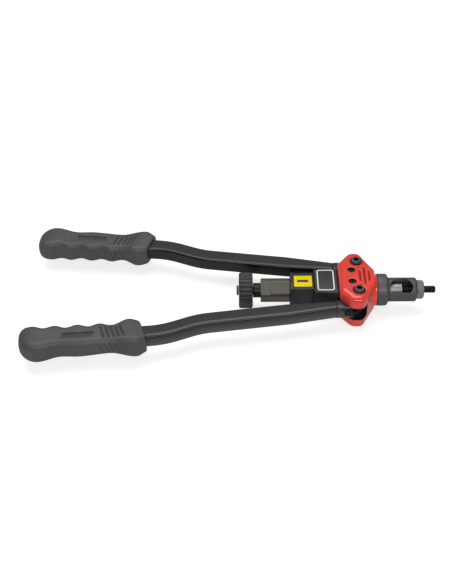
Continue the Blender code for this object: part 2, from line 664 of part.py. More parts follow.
# Sleeve of bare steel with two wrench flats, and the bush that the spindle turns and slides in
def make_sleeve():
    front = BLOCK_REAR_X - GAP
    spigot_front = BLOCK_REAR_X + SLEEVE_SPIGOT_LENGTH
    bush_outer = SPINDLE_RADIUS + RUNNING_GAP + GUIDE_BUSH_WALL
    bush_rear = spigot_front - GUIDE_BUSH_LENGTH
    pocket = NECK_RADIUS + RUNNING_GAP
    profile = [
        (SLEEVE_SPIGOT_RADIUS, spigot_front), (SLEEVE_SPIGOT_RADIUS, front), (SLEEVE_RADIUS, front),
        (SLEEVE_RADIUS, SLEEVE_REAR_X + 0.6 * MM), (SLEEVE_RADIUS - 0.6 * MM, SLEEVE_REAR_X),
        (pocket, SLEEVE_REAR_X), (pocket, NECK_POCKET_END_X),
        (SPINDLE_RADIUS + RUNNING_GAP, NECK_POCKET_END_X), (SPINDLE_RADIUS + RUNNING_GAP, bush_rear - GAP),
        (bush_outer + GAP, bush_rear - GAP), (bush_outer + GAP, spigot_front),
    ]
    sleeve = turned("guide_sleeve", profile, hollow=True, steps=SHAFT_STEPS)
    flats_front = SLEEVE_REAR_X + SLEEVE_FLATS_LENGTH
    for height, level in ((1, "top"), (-1, "base")):
        low_z, high_z = sorted((height * SLEEVE_FLATS / 2, height * (SLEEVE_RADIUS + MM)))
        low = (SLEEVE_REAR_X - MM, -SLEEVE_RADIUS - MM, low_z)
        flat = block(f"sleeve_flat_{level}", low, (flats_front, SLEEVE_RADIUS + MM, high_z))
        cut(sleeve, flat)
    dress(sleeve, OLIVE_STEEL, 0.5, 0.9)
    bore = SPINDLE_RADIUS + RUNNING_GAP
    bush = turned_ring("guide_bush", bush_outer, bore, spigot_front, bush_rear, steps=SHAFT_STEPS)
    dress(bush, BRONZE, 0.4, 0.8)


# Draw yoke: a cross plate with a notch round each pivot bolt and a slot for each crank pin
def make_yoke():
    slot_low_y = PIVOT_Y + CRANK_OUT - CRANK_PIN_RADIUS - RUNNING_GAP
    swing = math.radians(ARM_SWING_DEG)
    open_out = CRANK_BACK * math.sin(swing) + CRANK_OUT * math.cos(swing)
    slot_high_y = PIVOT_Y + open_out + CRANK_PIN_RADIUS + RUNNING_GAP
    tip_y = slot_high_y + YOKE_TIP_WALL
    tip_corner = (-CRANK_BACK - YOKE_TIP_REAR_X) * YOKE_TIP_CORNER_SHARE
    root_y = PIVOT_Y + YOKE_ROOT_OUT
    half = [
        (YOKE_REAR_X, root_y, YOKE_ROOT_CORNER),
        (YOKE_TIP_REAR_X, root_y + YOKE_ROOT_STEP, YOKE_ROOT_CORNER),
        (YOKE_TIP_REAR_X, tip_y, tip_corner),
        (YOKE_PLATE_FRONT_X, tip_y, YOKE_FRONT_CORNER),
    ]
    corners = half + [(x, -y, radius) for x, y, radius in reversed(half)]
    yoke = plate("draw_yoke", rounded_outline(corners, 4), -YOKE_PLATE_HALF_Z, YOKE_PLATE_HALF_Z)
    block_rear = YOKE_FRONT_X - YOKE_BLOCK_LENGTH
    low = (block_rear - MM / 2, -YOKE_BLOCK_HALF_Y, -YOKE_BLOCK_HALF_Z)
    unite(yoke, block("yoke_block", low, (YOKE_FRONT_X, YOKE_BLOCK_HALF_Y, YOKE_BLOCK_HALF_Z)))
    cut(yoke, rod("yoke_bore", SPINDLE_RADIUS + RUNNING_GAP, YOKE_REAR_X - MM, YOKE_FRONT_X + MM))
    relief = THRUST_WASHER_RADIUS + GAP
    low = (YOKE_REAR_X - MM, -relief, -YOKE_BLOCK_HALF_Z - MM)
    cut(yoke, block("washer_relief", low, (block_rear, relief, YOKE_BLOCK_HALF_Z + MM)))
    notch = PIVOT_SHANK_RADIUS + RUNNING_GAP
    reach_z = YOKE_PLATE_HALF_Z + MM
    for side, word in ((1, "upper"), (-1, "lower")):
        y = side * PIVOT_Y
        notch_rear = -CRANK_BACK - notch
        corner = notch * ROUND_END
        notch_corners = [
            (notch_rear, y - notch, corner), (notch_rear, y + notch, corner),
            (YOKE_FRONT_X + MM, y + notch, 0.0), (YOKE_FRONT_X + MM, y - notch, 0.0),
        ]
        cut(yoke, plate(f"bolt_notch_{word}", rounded_outline(notch_corners, 4), -reach_z, reach_z))
        rear = -CRANK_BACK - CRANK_PIN_RADIUS - PIN_SLOT_REAR_ROOM
        front = -CRANK_BACK + CRANK_PIN_RADIUS + PIN_SLOT_FRONT_ROOM
        low_y, high_y = sorted((side * slot_low_y, side * slot_high_y))
        corner = CRANK_PIN_RADIUS * ROUND_END
        slot_corners = [
            (rear, low_y, corner), (rear, high_y, corner), (front, high_y, corner), (front, low_y, corner),
        ]
        cut(yoke, plate(f"pin_slot_{word}", rounded_outline(slot_corners, 4), -reach_z, reach_z))
    dress(yoke, DARK_STEEL, 0.4, 0.9)
    front_washer = YOKE_FRONT_X + GAP
    rear_washer = block_rear - GAP
    bore = SPINDLE_RADIUS + RUNNING_GAP
    for name, front in (
        ("thrust_washer_front", front_washer + THRUST_WASHER_THICKNESS), ("thrust_washer_rear", rear_washer),
    ):
        rear = front - THRUST_WASHER_THICKNESS
        washer = turned_ring(name, THRUST_WASHER_RADIUS, bore, front, rear, steps=SMALL_ROUND_STEPS)
        dress(washer, BRIGHT_STEEL, 0.3, 1.0)


# Spindle from the knob to the coupling, with the nut that takes the pull behind the yoke
def make_spindle():
    collar_rear = YOKE_FRONT_X + 2 * GAP + THRUST_WASHER_THICKNESS
    collar_front = collar_rear + SPINDLE_COLLAR_LENGTH
    profile = [
        (0.0, SPINDLE_SPIGOT_END_X), (SPINDLE_SPIGOT_RADIUS, SPINDLE_SPIGOT_END_X),
        (SPINDLE_SPIGOT_RADIUS, COUPLING_REAR_X - GAP), (SPINDLE_RADIUS, COUPLING_REAR_X - GAP),
        (SPINDLE_RADIUS, collar_front), (SPINDLE_COLLAR_RADIUS, collar_front),
        (SPINDLE_COLLAR_RADIUS, collar_rear), (SPINDLE_RADIUS, collar_rear),
        (SPINDLE_RADIUS, KNOB_REAR_X), (0.0, KNOB_REAR_X),
    ]
    dress(turned("spindle_shaft", profile, steps=SHAFT_STEPS), DARK_STEEL, 0.35, 0.9)

    nut_front = YOKE_FRONT_X - YOKE_BLOCK_LENGTH - 2 * GAP - THRUST_WASHER_THICKNESS
    nut_rear = nut_front - THRUST_NUT_LENGTH
    nut = hexagon("thrust_nut", THRUST_NUT_FLATS, nut_rear, nut_front)
    cut(nut, rod("thrust_nut_bore", SPINDLE_RADIUS + GAP, nut_rear - MM, nut_front + MM))
    dress(nut, BRIGHT_STEEL, 0.35, 1.0)

    tail_end = COUPLING_FRONT_X - MANDREL_TAIL_LENGTH
    bore = MANDREL_TAIL_RADIUS + GAP
    profile = [
        (COUPLING_RADIUS - 0.4 * MM, COUPLING_FRONT_X), (COUPLING_RADIUS, COUPLING_FRONT_X - 0.4 * MM),
        (COUPLING_RADIUS, COUPLING_REAR_X), (bore, COUPLING_REAR_X), (bore, COUPLING_FRONT_X),
    ]
    dress(turned("mandrel_coupling", profile, hollow=True, steps=SHAFT_STEPS), BRIGHT_STEEL, 0.3, 1.0)

    shank_rear = COUPLING_FRONT_X + GAP
    profile = [
        (0.0, MANDREL_TIP_X), (MANDREL_RADIUS - MANDREL_CHAMFER, MANDREL_TIP_X),
        (MANDREL_RADIUS, MANDREL_TIP_X - MANDREL_CHAMFER), (MANDREL_RADIUS, shank_rear),
        (MANDREL_TAIL_RADIUS, shank_rear), (MANDREL_TAIL_RADIUS, tail_end), (0.0, tail_end),
    ]
    dress(turned("threaded_mandrel", profile, steps=SHAFT_STEPS), BLACK, 0.35, 0.8)

    bore = SPINDLE_RADIUS + GAP
    neck_rear = KNOB_FRONT_X + GAP
    neck = turned_ring("neck_collar", NECK_RADIUS, bore, NECK_FRONT_X, neck_rear, steps=SHAFT_STEPS)
    dress(neck, BLACK, 0.45, 0.5)

    stub = hexagon("knob_nut", STUB_FLATS, STUB_REAR_X, KNOB_REAR_X - GAP)
    dress(stub, DARK_STEEL, 0.4, 0.9)


# Knob: a ribbed wheel, dished on both faces
def make_knob():
    ribs = []
    for rib in range(KNOB_RIBS):
        for share, height in ((0.0, 0.0), (0.18, 1.0), (0.62, 1.0), (0.8, 0.0)):
            angle = 2 * math.pi * (rib + share) / KNOB_RIBS
            radius = KNOB_RADIUS - KNOB_RIB_HEIGHT * (1 - height)
            ribs.append(Vector((0.0, math.cos(angle) * radius, math.sin(angle) * radius)))
    chamfer = 0.9 * MM
    rings = []
    for x, shrink in (
        (KNOB_REAR_X, chamfer), (KNOB_REAR_X + chamfer, 0.0),
        (KNOB_FRONT_X - chamfer, 0.0), (KNOB_FRONT_X, chamfer),
    ):
        scale = 1 - shrink / KNOB_RADIUS
        rings.append([Vector((x, point.y * scale, point.z * scale)) for point in ribs])
    knob = loft("adjusting_knob", rings)
    dish = KNOB_RADIUS - KNOB_RIM_WIDTH
    hub = NECK_RADIUS + 1.5 * MM
    for name, low, high in (
        ("dish_rear", KNOB_REAR_X - MM, KNOB_REAR_X + KNOB_FACE_RECESS),
        ("dish_front", KNOB_FRONT_X - KNOB_FACE_RECESS, KNOB_FRONT_X + MM),
    ):
        cut(knob, turned_ring(name, dish, hub, high, low, steps=SHAFT_STEPS))
    cut(knob, rod("knob_bore", SPINDLE_RADIUS + GAP, KNOB_REAR_X - MM, KNOB_FRONT_X + MM))
    dress(knob, BLACK, 0.5)


# Lock ring, nose housing with its window, and the hex anvil
def make_nose():
    bore = NOSE_STEM_RADIUS + GAP
    profile = [
        (LOCK_RING_RADIUS - LOCK_RING_CHAMFER, LOCK_RING_FRONT_X),
        (LOCK_RING_RADIUS, LOCK_RING_FRONT_X - LOCK_RING_CHAMFER),
        (LOCK_RING_RADIUS, LOCK_RING_REAR_X), (bore, LOCK_RING_REAR_X), (bore, LOCK_RING_FRONT_X),
    ]
    dress(turned("lock_ring", profile, hollow=True), DARK_STEEL, 0.45, 0.8)

    seat = ANVIL_STEM_RADIUS + GAP
    seat_rear = ANVIL_REAR_X - ANVIL_STEM_LENGTH - GAP
    profile = [
        (NOSE_RADIUS - NOSE_CHAMFER, NOSE_FRONT_X), (NOSE_RADIUS, NOSE_FRONT_X - NOSE_CHAMFER),
        (NOSE_RADIUS, NOSE_REAR_X), (NOSE_STEM_RADIUS, NOSE_REAR_X), (NOSE_STEM_RADIUS, NOSE_STEM_END_X),
        (NOSE_BORE_RADIUS, NOSE_STEM_END_X), (NOSE_BORE_RADIUS, seat_rear),
        (seat, seat_rear), (seat, NOSE_FRONT_X),
    ]
    nose = turned("nose_housing", profile, hollow=True)
    radius = WINDOW_WIDTH / 2 * ROUND_END
    window_corners = [
        (WINDOW_REAR_X, -WINDOW_WIDTH / 2, radius), (WINDOW_REAR_X, WINDOW_WIDTH / 2, radius),
        (WINDOW_FRONT_X, WINDOW_WIDTH / 2, radius), (WINDOW_FRONT_X, -WINDOW_WIDTH / 2, radius),
    ]
    window = plate("nose_window", rounded_outline(window_corners, 8), 0.0, NOSE_RADIUS + MM)
    window.rotation_euler = (math.radians(WINDOW_TILT_DEG), 0.0, 0.0)
    cut(nose, window)
    dress(nose, DARK_STEEL, 0.45, 0.8)

    anvil = hexagon("anvil", ANVIL_FLATS, ANVIL_REAR_X, ANVIL_FRONT_X)
    reach = ANVIL_FLATS / math.sqrt(3) + MM
    face = ANVIL_FLATS / 2 - 0.2 * MM
    trim = [
        (reach, ANVIL_FRONT_X + MM), (reach, ANVIL_FRONT_X - ANVIL_CHAMFER - MM),
        (face, ANVIL_FRONT_X + 0.02 * MM), (face, ANVIL_FRONT_X + MM),
    ]
    cut(anvil, turned("anvil_trim", trim, hollow=True))
    stem_rear = ANVIL_REAR_X - ANVIL_STEM_LENGTH
    unite(anvil, rod("anvil_stem", ANVIL_STEM_RADIUS, stem_rear, ANVIL_REAR_X + MM, steps=SHAFT_STEPS))
    bore = MANDREL_RADIUS + RUNNING_GAP
    cut(anvil, rod("anvil_bore", bore, stem_rear - MM, ANVIL_FRONT_X + 2 * MM, steps=SHAFT_STEPS))
    dress(anvil, DARK_STEEL, 0.4, 0.9)


# Corners of one arm's centre line, from the knuckle to the end of the grip, in the pivot's own frame
def arm_corners(side):
    front_slope = math.tan(math.radians(ARM_FRONT_ANGLE_DEG))
    joggle_slope = math.tan(math.radians(JOGGLE_ANGLE_DEG))
    rear_slope = math.tan(math.radians(ARM_REAR_ANGLE_DEG))
    start_x = KNUCKLE_REAR_X - GAP
    end_x = GRIP_REAR_X + GRIP_END_WALL + MM
    joggle_front_y = ARM_LINE_Y - JOGGLE_FRONT_X * front_slope
    joggle_rear_y = joggle_front_y + (JOGGLE_FRONT_X - JOGGLE_REAR_X) * joggle_slope
    end_y = joggle_rear_y + (JOGGLE_REAR_X - end_x) * rear_slope
    line = [
        (start_x, ARM_LINE_Y - start_x * front_slope), (JOGGLE_FRONT_X, joggle_front_y),
        (JOGGLE_REAR_X, joggle_rear_y), (end_x, end_y),
    ]
    return [Vector((x, side * (y - PIVOT_Y), 0.0)) for x, y in line]


# The centre line with its two bends rounded
def arm_path(side, bend_steps=4):
    corners = arm_corners(side)
    path = [corners[0]]
    for before, here, after in zip(corners, corners[1:], corners[2:]):
        back = (before - here).normalized()
        on = (after - here).normalized()
        half_angle = back.angle(on) / 2
        centre = here + (back + on).normalized() * (JOGGLE_BEND_RADIUS / math.sin(half_angle))
        start = here + back * (JOGGLE_BEND_RADIUS / math.tan(half_angle))
        sweep = (math.pi - 2 * half_angle) * (1 if back.cross(on).z < 0 else -1)
        for step in range(bend_steps + 1):
            path.append(centre + Matrix.Rotation(sweep * step / bend_steps, 3, "Z") @ (start - centre))
    path.append(corners[-1])
    return path


def path_directions(path):
    directions = []
    for index in range(len(path)):
        before = path[max(index - 1, 0)]
        after = path[min(index + 1, len(path) - 1)]
        directions.append((after - before).normalized())
    return directions


# Puts a flat section, given as (across, up), square to the path at one place
def section_at(place, direction, points):
    across = Vector((0.0, 0.0, 1.0)).cross(direction).normalized()
    return [place + across * point.x + Vector((0.0, 0.0, point.y)) for point in points]


# Forked knuckle on the pivot bolt, with the crank pin's bosses outboard of it
def make_knuckle(side, word, pivot):
    slope = math.tan(math.radians(ARM_FRONT_ANGLE_DEG))
    tilt = math.cos(math.radians(ARM_FRONT_ANGLE_DEG))
    half_width = TUBE_FRONT_WIDTH / 2 / tilt

    def line_y(x):
        return ARM_LINE_Y - x * slope - PIVOT_Y

    pin = Vector((-CRANK_BACK, CRANK_OUT))
    outline = []
    for step in range(9):
        angle = math.radians(-118.0 + 128.0 * step / 8)
        outline.append(Vector((math.cos(angle), math.sin(angle))) * FORK_BOSS_RADIUS)
    for step in range(6):
        angle = math.radians(35.0 + 55.0 * step / 5)
        outline.append(pin + Vector((math.cos(angle), math.sin(angle))) * CRANK_BOSS_RADIUS)
    outline.append(Vector((FORK_ROOT_X, line_y(FORK_ROOT_X) + half_width)))
    rear_middle = Vector((KNUCKLE_REAR_X, line_y(KNUCKLE_REAR_X)))
    rear_across = Vector((math.sin(math.radians(ARM_FRONT_ANGLE_DEG)), tilt)) * (TUBE_FRONT_WIDTH / 2)
    outline.append(rear_middle + rear_across)
    outline.append(rear_middle - rear_across)
    outline.append(Vector((FORK_ROOT_X, line_y(FORK_ROOT_X) - half_width)))
    outline = [(point.x, side * point.y) for point in outline]
    knuckle = plate(f"arm_knuckle_{word}", outline, -FORK_HALF_Z, FORK_HALF_Z, pivot)
    soften(knuckle, 0.8 * MM, 1, 60.0)

    direction = Vector((-tilt, side * math.sin(math.radians(ARM_FRONT_ANGLE_DEG)), 0.0))
    start = Vector((KNUCKLE_REAR_X + 2 * MM, side * line_y(KNUCKLE_REAR_X + 2 * MM), 0.0))
    end = start + direction * (KNUCKLE_SPIGOT_LENGTH + 2 * MM)
    half_y = TUBE_FRONT_WIDTH / 2 - TUBE_WALL - GAP
    half_z = TUBE_HEIGHT / 2 - TUBE_WALL - GAP
    section = rounded_section(half_y, half_y, half_z, TUBE_CORNER / 2, 2)
    rings = [section_at(spot, direction, section) for spot in (start, end)]
    unite(knuckle, loft(f"knuckle_spigot_{word}", rings, pivot))

    room = YOKE_PLATE_HALF_Z + GAP
    slot_low = (FORK_ROOT_X, -HEAD_LOBE_HALF_Y, -room)
    slot_high = (FORK_BOSS_RADIUS + MM, HEAD_LOBE_HALF_Y, room)
    cut(knuckle, block(f"fork_slot_{word}", slot_low, slot_high, pivot))
    bush = PIVOT_SHANK_RADIUS + RUNNING_GAP + BUSH_WALL + GAP
    reach_z = FORK_HALF_Z + MM
    cut(knuckle, rod(f"bush_hole_{word}", bush, -reach_z, reach_z, (0.0, 0.0), "Z", parent=pivot))
    spot = (-CRANK_BACK, side * CRANK_OUT)
    cut(knuckle, rod(f"pin_hole_{word}", CRANK_PIN_RADIUS + GAP, -reach_z, reach_z, spot, "Z", parent=pivot))
    dress(knuckle, BLACK, 0.3)

    for flip, level in ((1, "top"), (-1, "base")):
        inner = room + 0.1 * MM
        outer = FORK_HALF_Z - 0.1 * MM
        low, high = sorted((flip * inner, flip * outer))
        bore = PIVOT_SHANK_RADIUS + RUNNING_GAP
        name = f"pivot_bush_{level}_{word}"
        ring = turned_ring(name, bore + BUSH_WALL, bore, high, low, "Z", SMALL_ROUND_STEPS, pivot)
        dress(ring, BRONZE, 0.4, 0.8)
    pin_half = FORK_HALF_Z - 0.1 * MM
    crank_pin = rod(f"crank_pin_{word}", CRANK_PIN_RADIUS, -pin_half, pin_half, spot, "Z", parent=pivot)
    dress(crank_pin, BRIGHT_STEEL, 0.3, 1.0)


# Arm tube: one open rectangular skin along the centre line, narrowed to the knuckle and thickened inwards
def make_tube(side, word, pivot):
    path = arm_path(side)
    taper = (TUBE_TAPER_START_X - path[0].x) / (path[1].x - path[0].x)
    path.insert(1, path[0].lerp(path[1], taper))
    work = bmesh.new()
    rows = []
    for place, direction in zip(path, path_directions(path)):
        half = (TUBE_FRONT_WIDTH if place == path[0] else TUBE_WIDTH) / 2
        section = rounded_section(half, half, TUBE_HEIGHT / 2, TUBE_CORNER, 2)
        rows.append([work.verts.new(point) for point in section_at(place, direction, section)])
    count = len(rows[0])
    for first, second in zip(rows, rows[1:]):
        for index in range(count):
            after = (index + 1) % count
            work.faces.new((first[index], second[index], second[after], first[after]))
    bmesh.ops.recalc_face_normals(work, faces=work.faces)
    middle = sum((vert.co for vert in rows[0]), Vector()) / count
    first_face = rows[0][0].link_faces[0]
    if first_face.normal.dot(rows[0][0].co - middle) < 0:
        bmesh.ops.reverse_faces(work, faces=work.faces)
    mesh = bpy.data.meshes.new(f"arm_tube_{word}")
    work.to_mesh(mesh)
    work.free()
    tube = add_object(f"arm_tube_{word}", mesh, pivot)
    wall = tube.modifiers.new("wall", "SOLIDIFY")
    wall.thickness = TUBE_WALL
    wall.offset = -1.0
    wall.use_even_offset = True
    dress(tube, BLACK, 0.25)


# Half width of the grip on the finger side, at a distance from its rear end
def finger_side(place):
    last_dip = GRIP_FIRST_CREST + (GRIP_SCALLOPS - 0.5) * GRIP_SCALLOP_PITCH
    dip = GRIP_CREST - GRIP_SCALLOP_DEPTH
    if place < last_dip:
        wave = math.cos(2 * math.pi * (place - GRIP_FIRST_CREST) / GRIP_SCALLOP_PITCH)
        return dip + GRIP_SCALLOP_DEPTH * (0.5 + 0.5 * wave) if place > GRIP_FIRST_CREST else GRIP_CREST
    if place < GRIP_FLANGE_AT:
        share = (place - last_dip) / (GRIP_FLANGE_AT - last_dip)
        return dip + (GRIP_FLANGE_INNER - dip) * (0.5 - 0.5 * math.cos(math.pi * share))
    share = (place - GRIP_FLANGE_AT) / (GRIP_LENGTH - GRIP_FLANGE_AT)
    return GRIP_FLANGE_INNER - GRIP_FLANGE_DROP * share * share


# Share of the grip's width that is left at a place near its round rear end
def end_share(place, reach, least):
    to_round = max(0.0, 1 - place / reach)
    return least + (1 - least) * math.sqrt(1 - to_round ** 2)


# One ring of the grip. Towards the front the rings lean, as the palm side reaches further.
def slanted_ring(middle, forward, section, side, place):
    lean = max(0.0, (place / GRIP_LENGTH - GRIP_SLANT_FROM) / (1 - GRIP_SLANT_FROM)) * GRIP_SLANT
    palm = GRIP_PALM[-1][1]
    ring = section_at(middle, -forward, section)
    return [spot - forward * (lean * (palm + side * point.x)) for spot, point in zip(ring, section)]


# Grip: a blind rubber sleeve with finger scallops inside, a swell for the palm and a flange in front
def make_grip(side, word, pivot):
    angle = math.radians(ARM_REAR_ANGLE_DEG)
    forward = Vector((math.cos(angle), -side * math.sin(angle), 0.0))
    tube_end = arm_corners(side)[-1]
    rear = tube_end - forward * (GRIP_END_WALL + MM)
    places = [GRIP_LENGTH * share for share in GRIP_STATIONS_REAR]
    places += [GRIP_FIRST_CREST + GRIP_SCALLOP_PITCH / 4 * step for step in range(GRIP_SCALLOPS * 4 - 1)]
    places += [GRIP_LENGTH * share for share in GRIP_STATIONS_FRONT]
    rings = []
    for place in places:
        inner = finger_side(place)
        palm = smooth_value(GRIP_PALM, place / GRIP_LENGTH)
        half_height = smooth_value(GRIP_HALF_HEIGHT, place / GRIP_LENGTH)
        shrink = end_share(place, GRIP_END_ROUND, GRIP_END_SHARE)
        palm_shrink = end_share(place, GRIP_PALM_ROUND, GRIP_PALM_SHARE)
        if place == places[-1]:
            shrink = palm_shrink = GRIP_FRONT_SHARE
        palm, inner = palm * palm_shrink, inner * shrink
        left, right = (palm, inner) if side > 0 else (inner, palm)
        section = rounded_section(left, right, half_height * shrink, GRIP_CORNER, 2)
        rings.append(slanted_ring(rear + forward * place, forward, section, side, place))
    hole_y = TUBE_WIDTH / 2 + GAP
    hole_z = TUBE_HEIGHT / 2 + GAP
    hole = rounded_section(hole_y, hole_y, hole_z, TUBE_CORNER + GAP, 2)
    for place in (GRIP_LENGTH, GRIP_END_WALL):
        rings.append(slanted_ring(rear + forward * place, forward, hole, side, place))
    grip = loft(f"grip_{word}", rings, pivot)
    outward = Vector((math.sin(angle), side * math.cos(angle), 0.0))
    slant = Matrix.Rotation(-side * math.radians(GRIP_GROOVE_SLANT_DEG), 3, "Z")
    for index in range(GRIP_GROOVES):
        distance = GRIP_GROOVE_FIRST + index * GRIP_GROOVE_PITCH
        height = smooth_value(GRIP_HALF_HEIGHT, distance / GRIP_LENGTH)
        middle = rear + forward * distance + outward * GRIP_GROOVE_OFF_CENTRE
        size = Vector((GRIP_GROOVE_WIDTH, GRIP_GROOVE_LENGTH, 2 * GRIP_GROOVE_DEPTH))
        groove = block(f"grip_groove_{word}_{index}", -size / 2, size / 2, pivot)
        for vert in groove.data.vertices:
            turned_place = slant @ (forward * vert.co.x + outward * vert.co.y)
            vert.co = middle + turned_place + Vector((0.0, 0.0, height + vert.co.z))
        if side < 0:
            groove.data.flip_normals()
        cut(grip, groove)
    dress(grip, CHARCOAL, 0.75)


def make_arm(side, word):
    pivot = bpy.data.objects.new(f"arm_pivot_{word}", None)
    tool.objects.link(pivot)
    pivot.parent = tool_frame
    pivot.location = (0.0, side * PIVOT_Y, 0.0)
    make_knuckle(side, word, pivot)
    make_tube(side, word, pivot)
    make_grip(side, word, pivot)


make_head()
make_pivots()
make_slide_guides()
make_rear_body()
make_guide_block()
make_sleeve()
make_yoke()
make_spindle()
make_knob()
make_nose()
make_arm(1, "upper")
make_arm(-1, "lower")


# Stands the tool on its lowest point and centres it over the origin
def stand_on_origin():
    bpy.context.view_layer.update()
    graph = bpy.context.evaluated_depsgraph_get()
    low = Vector((math.inf,) * 3)
    high = Vector((-math.inf,) * 3)
    for piece in tool.objects:
        if piece.type != "MESH":
            continue
        ready = piece.evaluated_get(graph)
        for vert in ready.data.vertices:
            place = ready.matrix_world @ vert.co
            low = Vector(map(min, low, place))
            high = Vector(map(max, high, place))
    tool_frame.location = (-(low.x + high.x) / 2, -(low.y + high.y) / 2, -low.z)


stand_on_origin()
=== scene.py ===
import math

import bmesh
import bpy
import numpy as np
from mathutils import Matrix, Vector


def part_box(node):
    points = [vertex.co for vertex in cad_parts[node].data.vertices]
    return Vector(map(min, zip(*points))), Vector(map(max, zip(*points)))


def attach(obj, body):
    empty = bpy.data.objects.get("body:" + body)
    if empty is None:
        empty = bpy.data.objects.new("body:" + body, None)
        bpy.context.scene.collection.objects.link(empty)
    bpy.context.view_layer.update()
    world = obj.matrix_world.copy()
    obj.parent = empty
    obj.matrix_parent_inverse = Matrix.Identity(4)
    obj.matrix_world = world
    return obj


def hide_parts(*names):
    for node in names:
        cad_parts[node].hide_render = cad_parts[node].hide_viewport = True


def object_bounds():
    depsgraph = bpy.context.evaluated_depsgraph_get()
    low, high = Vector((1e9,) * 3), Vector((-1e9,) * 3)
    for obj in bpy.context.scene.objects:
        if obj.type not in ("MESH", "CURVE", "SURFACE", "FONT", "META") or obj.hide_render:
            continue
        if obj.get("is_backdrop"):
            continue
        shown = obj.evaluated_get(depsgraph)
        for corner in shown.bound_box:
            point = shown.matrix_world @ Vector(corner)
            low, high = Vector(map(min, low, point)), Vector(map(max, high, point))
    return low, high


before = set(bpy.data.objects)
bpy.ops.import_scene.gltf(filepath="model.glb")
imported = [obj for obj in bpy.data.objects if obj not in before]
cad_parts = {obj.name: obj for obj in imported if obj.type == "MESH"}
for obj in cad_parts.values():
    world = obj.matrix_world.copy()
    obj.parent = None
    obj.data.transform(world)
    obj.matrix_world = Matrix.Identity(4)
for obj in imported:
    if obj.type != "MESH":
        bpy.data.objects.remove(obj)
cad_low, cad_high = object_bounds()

# Camera
# The product shot looks down at the tool from its lower arm's side, 43 degrees above the table.
CAMERA_PLACE = (0.01509, -0.79224, 0.75644)
CAMERA_TILT_DEG = 47.13
CAMERA_YAW_DEG = 1.522
CAMERA_ROLL_DEG = -1.352
CAMERA_LENS = 64.46
CAMERA_SENSOR = 36.0

scene = bpy.context.scene
camera_data = bpy.data.cameras.new("product_camera")
camera_data.lens = CAMERA_LENS
camera_data.sensor_width = CAMERA_SENSOR
camera_data.clip_start = 0.05
camera_data.clip_end = 20.0
camera = bpy.data.objects.new("product_camera", camera_data)
camera.location = CAMERA_PLACE
turn = Matrix.Identity(3)
for angle, about in ((CAMERA_YAW_DEG, "Z"), (CAMERA_TILT_DEG, "X"), (CAMERA_ROLL_DEG, "Z")):
    turn = turn @ Matrix.Rotation(math.radians(angle), 3, about)
camera.rotation_euler = turn.to_euler()
scene.collection.objects.link(camera)
scene.camera = camera
scene.view_settings.view_transform = "Standard"

# Table and light
# The tool lies on a white studio table under a large ceiling softbox, with a long low one behind the
# camera. The table's glow rises with distance, until the table is as white as the room.
TABLE_SIZE = 30.0
TABLE_Z = -0.0002
TABLE_GREY = 0.62
TABLE_GLOW = 0.66
GLOW_REACH = (0.7, 2.0)
TABLE_FILL = 0.12
ROOM_FILL = 0.24
WHITE = (1.0, 1.0, 1.0, 1.0)
SOFTBOXES = (
    ("ceiling_softbox", (-0.1, 0.4, 1.2), (1.2, 0.9), 9.5),
    ("camera_softbox", (0.1, -1.15, 1.0), (1.5, 0.25), 8.5),
)


# Sets a node's inputs: what another node gives is linked, and a plain value is written in
def feed(node, sockets):
    for name, value in sockets.items():
        value = getattr(value, "socket", value)
        if isinstance(value, bpy.types.NodeSocket):
            node.id_data.links.new(value, node.inputs[name])
        else:
            node.inputs[name].default_value = value
    return node


def add_node(tree, kind, sockets=(), **settings):
    made = tree.nodes.new(kind)
    for name, value in settings.items():
        setattr(made, name, value)
    return feed(made, dict(sockets))


# A number that a node tree works out at each place, for sums with Python's own signs
class Value:
    def __init__(self, socket):
        self.socket = socket

    def do(self, operation, other=0.0, clamp=False):
        settings = {"operation": operation, "use_clamp": clamp}
        made = add_node(self.socket.id_data, "ShaderNodeMath", {0: self, 1: other}, **settings)
        return Value(made.outputs[0])

    # 0 up to the start and 1 from the end on; a start above the end turns it round
    def ramp(self, start, end):
        sockets = {"Value": self, "From Min": start, "From Max": end}
        return Value(add_node(self.socket.id_data, "ShaderNodeMapRange", sockets).outputs["Result"])

    def __add__(self, other):
        return self.do("ADD", other)

    def __sub__(self, other):
        return self.do("SUBTRACT", other)

    def __mul__(self, other):
        return self.do("MULTIPLY", other)

    def __truediv__(self, other):
        return self.do("DIVIDE", other)

    def __abs__(self):
        return self.do("ABSOLUTE")


def vector_math(operation, first, second=(0.0, 0.0, 0.0)):
    made = add_node(first.id_data, "ShaderNodeVectorMath", {0: first, 1: second}, operation=operation)
    return made.outputs


def object_place(tree):
    return add_node(tree, "ShaderNodeTexCoord").outputs["Object"]


# 1 for what the camera sees directly and 0 for light and reflections
def camera_ray(tree):
    return Value(add_node(tree, "ShaderNodeLightPath").outputs["Is Camera Ray"])


def new_material(name):
    material = bpy.data.materials.new(name)
    material.use_nodes = True
    return material, material.node_tree.nodes["Principled BSDF"]


world = bpy.data.worlds.new("white_room")
scene.world = world
world.use_nodes = True
brightness = camera_ray(world.node_tree) * (1.0 - ROOM_FILL) + ROOM_FILL
feed(world.node_tree.nodes["Background"], {"Color": WHITE, "Strength": brightness})

for name, place, (width, depth), power in SOFTBOXES:
    lamp = bpy.data.lights.new(name, "AREA")
    lamp.shape = "RECTANGLE"
    lamp.size = width
    lamp.size_y = depth
    lamp.energy = power
    lamp_object = bpy.data.objects.new(name, lamp)
    lamp_object.location = place
    lamp_object.rotation_euler = (-Vector(place)).to_track_quat("-Z", "Y").to_euler()
    scene.collection.objects.link(lamp_object)

